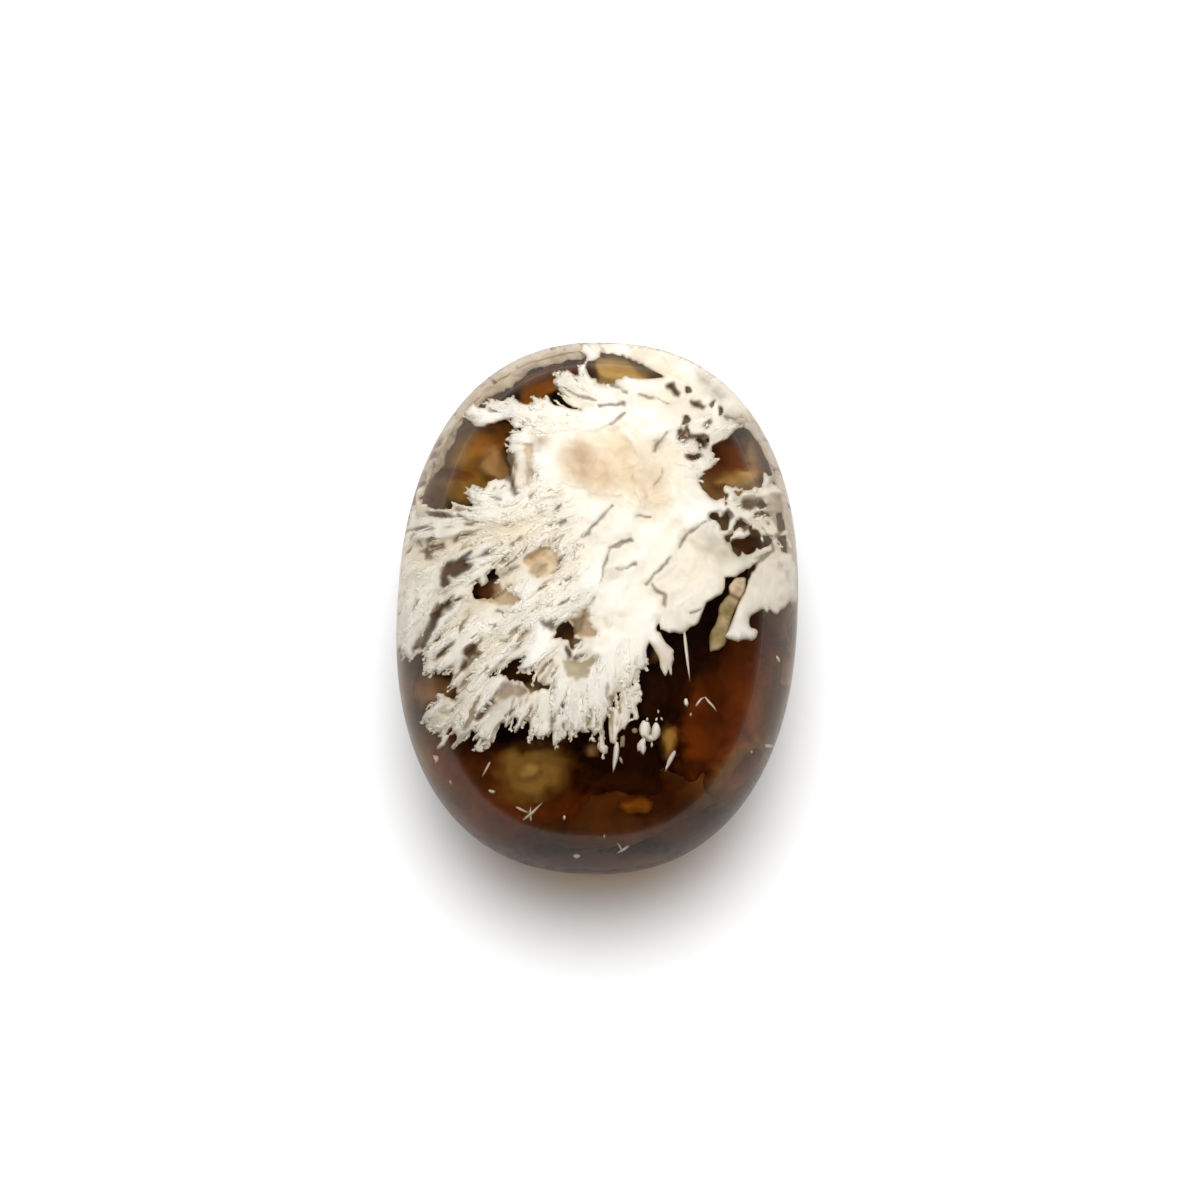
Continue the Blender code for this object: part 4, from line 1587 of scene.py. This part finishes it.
def make_skirts(material):
    """The plumes where they run on down the sides that the photograph doesn't show."""
    belt = Belt(SIDE_PLUMES_STEP)
    below, limb_x, limb_y = belt.below, belt.limb_x, belt.limb_y
    veil = inside_distance(limb_x, limb_y, *VEILS) - 4
    hang = np.maximum(plume_field(limb_x, limb_y), veil)
    barbs = belt.noise(7, 301, 5) * 2
    fine = belt.noise(3, 302, 4) * 2
    length = 62 + 60 * belt.noise(130, 303, 8) + 20 * belt.noise(36, 304, 8)
    field = np.minimum(0.8 * hang + 4 - 0.08 * below, 0.35 * (length * smooth_step(hang, -2, 12) - below))
    field = field + 2.2 * barbs + 1.2 * fine
    field = np.minimum(field, 0.5 * (below + 9))
    slits = smooth_step(belt.noise(8, 305, 4), 0.30, 0.62)
    field = belt.end_at_border(np.minimum(field, 7 * (0.9 - slits) + 3), 3)
    soft = cushion(field, 7)
    level = PLUME_DEPTH - 0.30 * soft - 0.09 * barbs * soft - 0.05 * fine * soft + 0.25 * slits
    level = np.maximum(level + 0.12 * belt.noise(24, 306), LEAST_DEPTH)
    shares = share_out(PLUME_COLOURS, len(level), white=1)
    blend_noise(shares, belt, "pale", 0.5, 40, 307, -0.1, 0.5)
    blend_in(shares, "veil", 0.75 * smooth_step(veil + 6 * belt.noise(30, 309), -2, 8))
    near = smooth_step(below + 10 * belt.noise(26, 310), 34, 8)
    # Painted shade: grey veil laid on the side plumes near the limb at the right rim.
    blend_in(shares, "veil", 0.65 * near * smooth_step(limb_x, 735, 765) * smooth_step(limb_y, 590, 550))
    blend_in(shares, "peach", 0.9 * near * smooth_step(limb_x, 620, 640) * smooth_step(limb_x, 720, 670))
    # Painted shade: tan laid in the hollows between the barbs.
    blend_in(shares, "tan", 0.4 * smooth_step(-barbs, 0.1, 1.0))
    # Painted shade: tan laid along the side plumes' edges.
    blend_in(shares, "tan", 0.6 * (1 - smooth_step(field, 0, 5)))
    blend_in(shares, "brown", 0.8 * slits)
    bottom = level + 0.12 + 0.5 * soft
    add_sheet("side_plumes", belt, field, level, bottom, shares, material)


# The clouds and the beds of iron minerals

def make_bed(material):
    """The clouds under the plumes: one uneven bed that rises where they are bright."""
    patch = Patch(*STONE_FRAME, BED_STEP)
    x, y = patch.x, patch.y
    depth = BED_DEPTH + 1.2 * patch.noise(60, 71)
    shares = share_out(CLOUD_COLOURS, len(x), dark=1)
    near_plumes = patch.inside(PLUME_EDGE, FROND_EDGE)
    tissue = 0.9 * smooth_step(near_plumes + 6 * patch.noise(24, 73), 2, 22)
    depth = depth * (1 - tissue) + TISSUE_DEPTH * tissue
    blend_in(shares, "grey", tissue)
    blend_noise(shares, patch, "olive", tissue, 34, 74, -0.2, 0.4)
    blend_noise(shares, patch, "pink", 0.7 * tissue, 28, 76, 0.1, 0.6)
    for seed, (*oval, spot_depth, kind, strength) in enumerate(CLOUDS, CLOUD_SEED):
        weight = spot_weight(x, y, *oval, seed) * strength
        depth = depth * (1 - weight) + spot_depth * weight
        blend_in(shares, kind, weight)
    depth = depth + 0.06 * depth * patch.noise(24, 72)
    edge = patch.end_at_limb((patch.facing - CLOUDS_FACING) * 60, CLOUDS_FACING)
    bottom = depth + 0.2 + 0.5 * cushion(edge, 10)
    add_sheet("cloud_bed", patch, edge, depth, bottom, shares, material)


def make_side_clouds(material):
    """Clouds under the sides, all around the stone and down toward its flat."""
    belt = Belt(SIDE_CLOUDS_STEP)
    depth = SIDE_CLOUD_DEPTH + 1.0 * belt.noise(110, 321, 1.5) + 0.3 * belt.noise(36, 322)
    depth = depth + 3.0 * (1 - smooth_step(belt.below, 8, 60))
    gaps = smooth_step(belt.noise(90, 323, 1.3), 0.3, 0.5)
    field = np.minimum(10 * (0.5 - gaps), 0.5 * (belt.below - 10) + 8 * belt.noise(26, 328))
    field = belt.end_at_border(field, 5)
    soft = cushion(field, 5)
    depth = np.maximum(depth, 1.4) + 0.5 * (1 - soft)
    front = smooth_step(np.abs(belt.x / belt.ROUND - 0.5), 0.30, 0.44)
    shares = share_out(CLOUD_COLOURS, len(depth), rust=1)
    for tint in SIDE_CLOUD_TINTS:
        blend_noise(shares, belt, *tint)
    blend_in(shares, "rust", 0.5 * front)
    blend_in(shares, "dark", 0.5 * front)
    bottom = depth + 0.2 + 0.6 * soft
    add_sheet("side_clouds", belt, field, depth, bottom, shares, material)


def make_iron_bed(name, place, size, tilt, depth, dome, ragged, material, seed):
    """Lumpy bed of iron minerals: deepest along its ragged edge."""
    least = min(size)
    span = max(size) + 3 * ragged + 6
    x, y = place
    patch = Patch(x - span, y - span, x + span, y + span, IRON_STEP)
    along, across = turned(patch.x - x, patch.y - y, tilt)
    edge = (1 - np.hypot(along / size[0], across / size[1])) * least
    edge = edge + ragged * layered_noise(patch.x, patch.y, ragged * 3 + 3, seed, 4)
    edge = patch.end_at_limb(edge, CLOUDS_FACING)
    rise = cushion(edge, least)
    top = depth + dome * (1 - rise) + 0.3 * dome * patch.noise(least * 0.6 + 4, seed + 7) * rise
    bottom = np.maximum(depth + dome, top) + 0.1 + 0.5 * dome * rise
    add_sheet(name, patch, edge, top, bottom, {}, material)


def make_iron_beds():
    minerals = {kind: iron_material(kind, stops) for kind, stops in IRON_MINERALS.items()}
    for number, (*bed, kind) in enumerate(IRON_BEDS):
        make_iron_bed(*bed, minerals[kind], IRON_SEED + 9 * number)


# Camera, floor and light

def make_camera():
    data = bpy.data.cameras.new("photo_camera")
    data.lens = LENS
    data.sensor_width = SENSOR
    data.clip_start = 0.01
    camera = bpy.data.objects.new("photo_camera", data)
    bpy.context.scene.collection.objects.link(camera)
    turn = Matrix((RIGHT, UP, BACK)).transposed().to_4x4()
    camera.matrix_world = Matrix.Translation(Vector(EYE)) @ turn
    bpy.context.scene.camera = camera


def mirror_share(tree):
    """One for the rays that the polish mirrors, and nothing for all others."""
    paths = add_node(tree, "LightPath", {}).outputs
    rays = {0: paths["Is Glossy Ray"], 1: paths["Is Reflection Ray"]}
    return add_node(tree, "Math", rays, operation="MULTIPLY").outputs["Value"]


def mix_colours(tree, factor, first, second):
    colours = {"Factor": factor, "A": (*first, 1), "B": (*second, 1)}
    return add_node(tree, "Mix", colours, data_type="RGBA").outputs["Result"]


def make_floor():
    """Plain pale floor, which the polish mirrors a little darker than it is."""
    bm = bmesh.new()
    bmesh.ops.create_circle(bm, cap_ends=True, segments=96, radius=FLOOR_RADIUS)
    mesh = bpy.data.meshes.new("floor")
    bm.to_mesh(mesh)
    bm.free()
    floor = bpy.data.objects.new("floor", mesh)
    floor.location.z = -FLOOR_GAP
    bpy.context.scene.collection.objects.link(floor)
    dull = {"Roughness": MATT_ROUGHNESS, "Specular IOR Level": 0.0}
    material, tree, shader = new_material("white_table", dull)
    colour = mix_colours(tree, mirror_share(tree), FLOOR_COLOUR, FLOOR_MIRRORED)
    feed(tree, shader, {"Base Color": colour})
    mesh.materials.append(material)


def make_world():
    """Soft light from all around, brightest from behind, with a dark ceiling for reflections."""
    world = bpy.data.worlds.new("studio")
    bpy.context.scene.world = world
    world.use_nodes = True
    tree = world.node_tree
    direction = add_node(tree, "TexCoord", {}).outputs["Generated"]

    def toward(way):
        """How far a ray's direction agrees with a way, from minus one to one."""
        ways = {0: direction, 1: Vector(way).normalized()}
        return add_node(tree, "VectorMath", ways, operation="DOT_PRODUCT").outputs["Value"]

    def work_out(operation, first, second):
        return add_node(tree, "Math", {0: first, 1: second}, operation=operation).outputs["Value"]

    lit = work_out("MAXIMUM", toward(LIGHT_WAY), 0.0)
    lit = work_out("MULTIPLY", work_out("POWER", lit, LIGHT_FOCUS), LIGHT_STRENGTH)
    lit = work_out("ADD", lit, LIGHT_ALL_ROUND)
    light = add_node(tree, "Background", {"Color": (1.0, 1.0, 1.0, 1), "Strength": lit})
    ramp = add_ramp(tree, toward((0, 0, 1)), [(rise, [grey] * 3) for rise, grey in MIRRORED])
    behind = work_out("MULTIPLY", toward((0, 1, 0)), MIRRORED_TURN)
    behind = work_out("ADD", behind, MIRRORED_AT_SIDE)
    tint = mix_colours(tree, behind, MIRRORED_IN_FRONT, MIRRORED_BEHIND)
    tinted = add_node(tree, "VectorMath", {0: tint, 1: ramp}, operation="MULTIPLY")
    mirrored = add_node(tree, "Background", {"Color": tinted.outputs["Vector"]})
    both = add_node(tree, "MixShader", {
        "Fac": mirror_share(tree),
        1: light.outputs["Background"],
        2: mirrored.outputs["Background"],
    })
    feed(tree, tree.nodes["World Output"], {"Surface": both.outputs["Shader"]})


def set_light_paths():
    cycles = bpy.context.scene.cycles
    cycles.max_bounces = 20
    cycles.diffuse_bounces = 6
    cycles.glossy_bounces = 12
    cycles.transmission_bounces = 16


bpy.context.scene.view_settings.view_transform = "Standard"
make_camera()
make_floor()
make_world()
set_light_paths()
make_body()
plume = blended_material("white_plume", PLUME_COLOURS, PLUME_CELL, 4, 1.0)
make_plumes(plume)
make_stick(plume)
make_veils(plume)
make_needles(plume)
make_skirts(plume)
cloud = blended_material("cloud_bed", CLOUD_COLOURS, CLOUD_CELL, 3, 0.3)
make_bed(cloud)
make_side_clouds(cloud)
make_iron_beds()
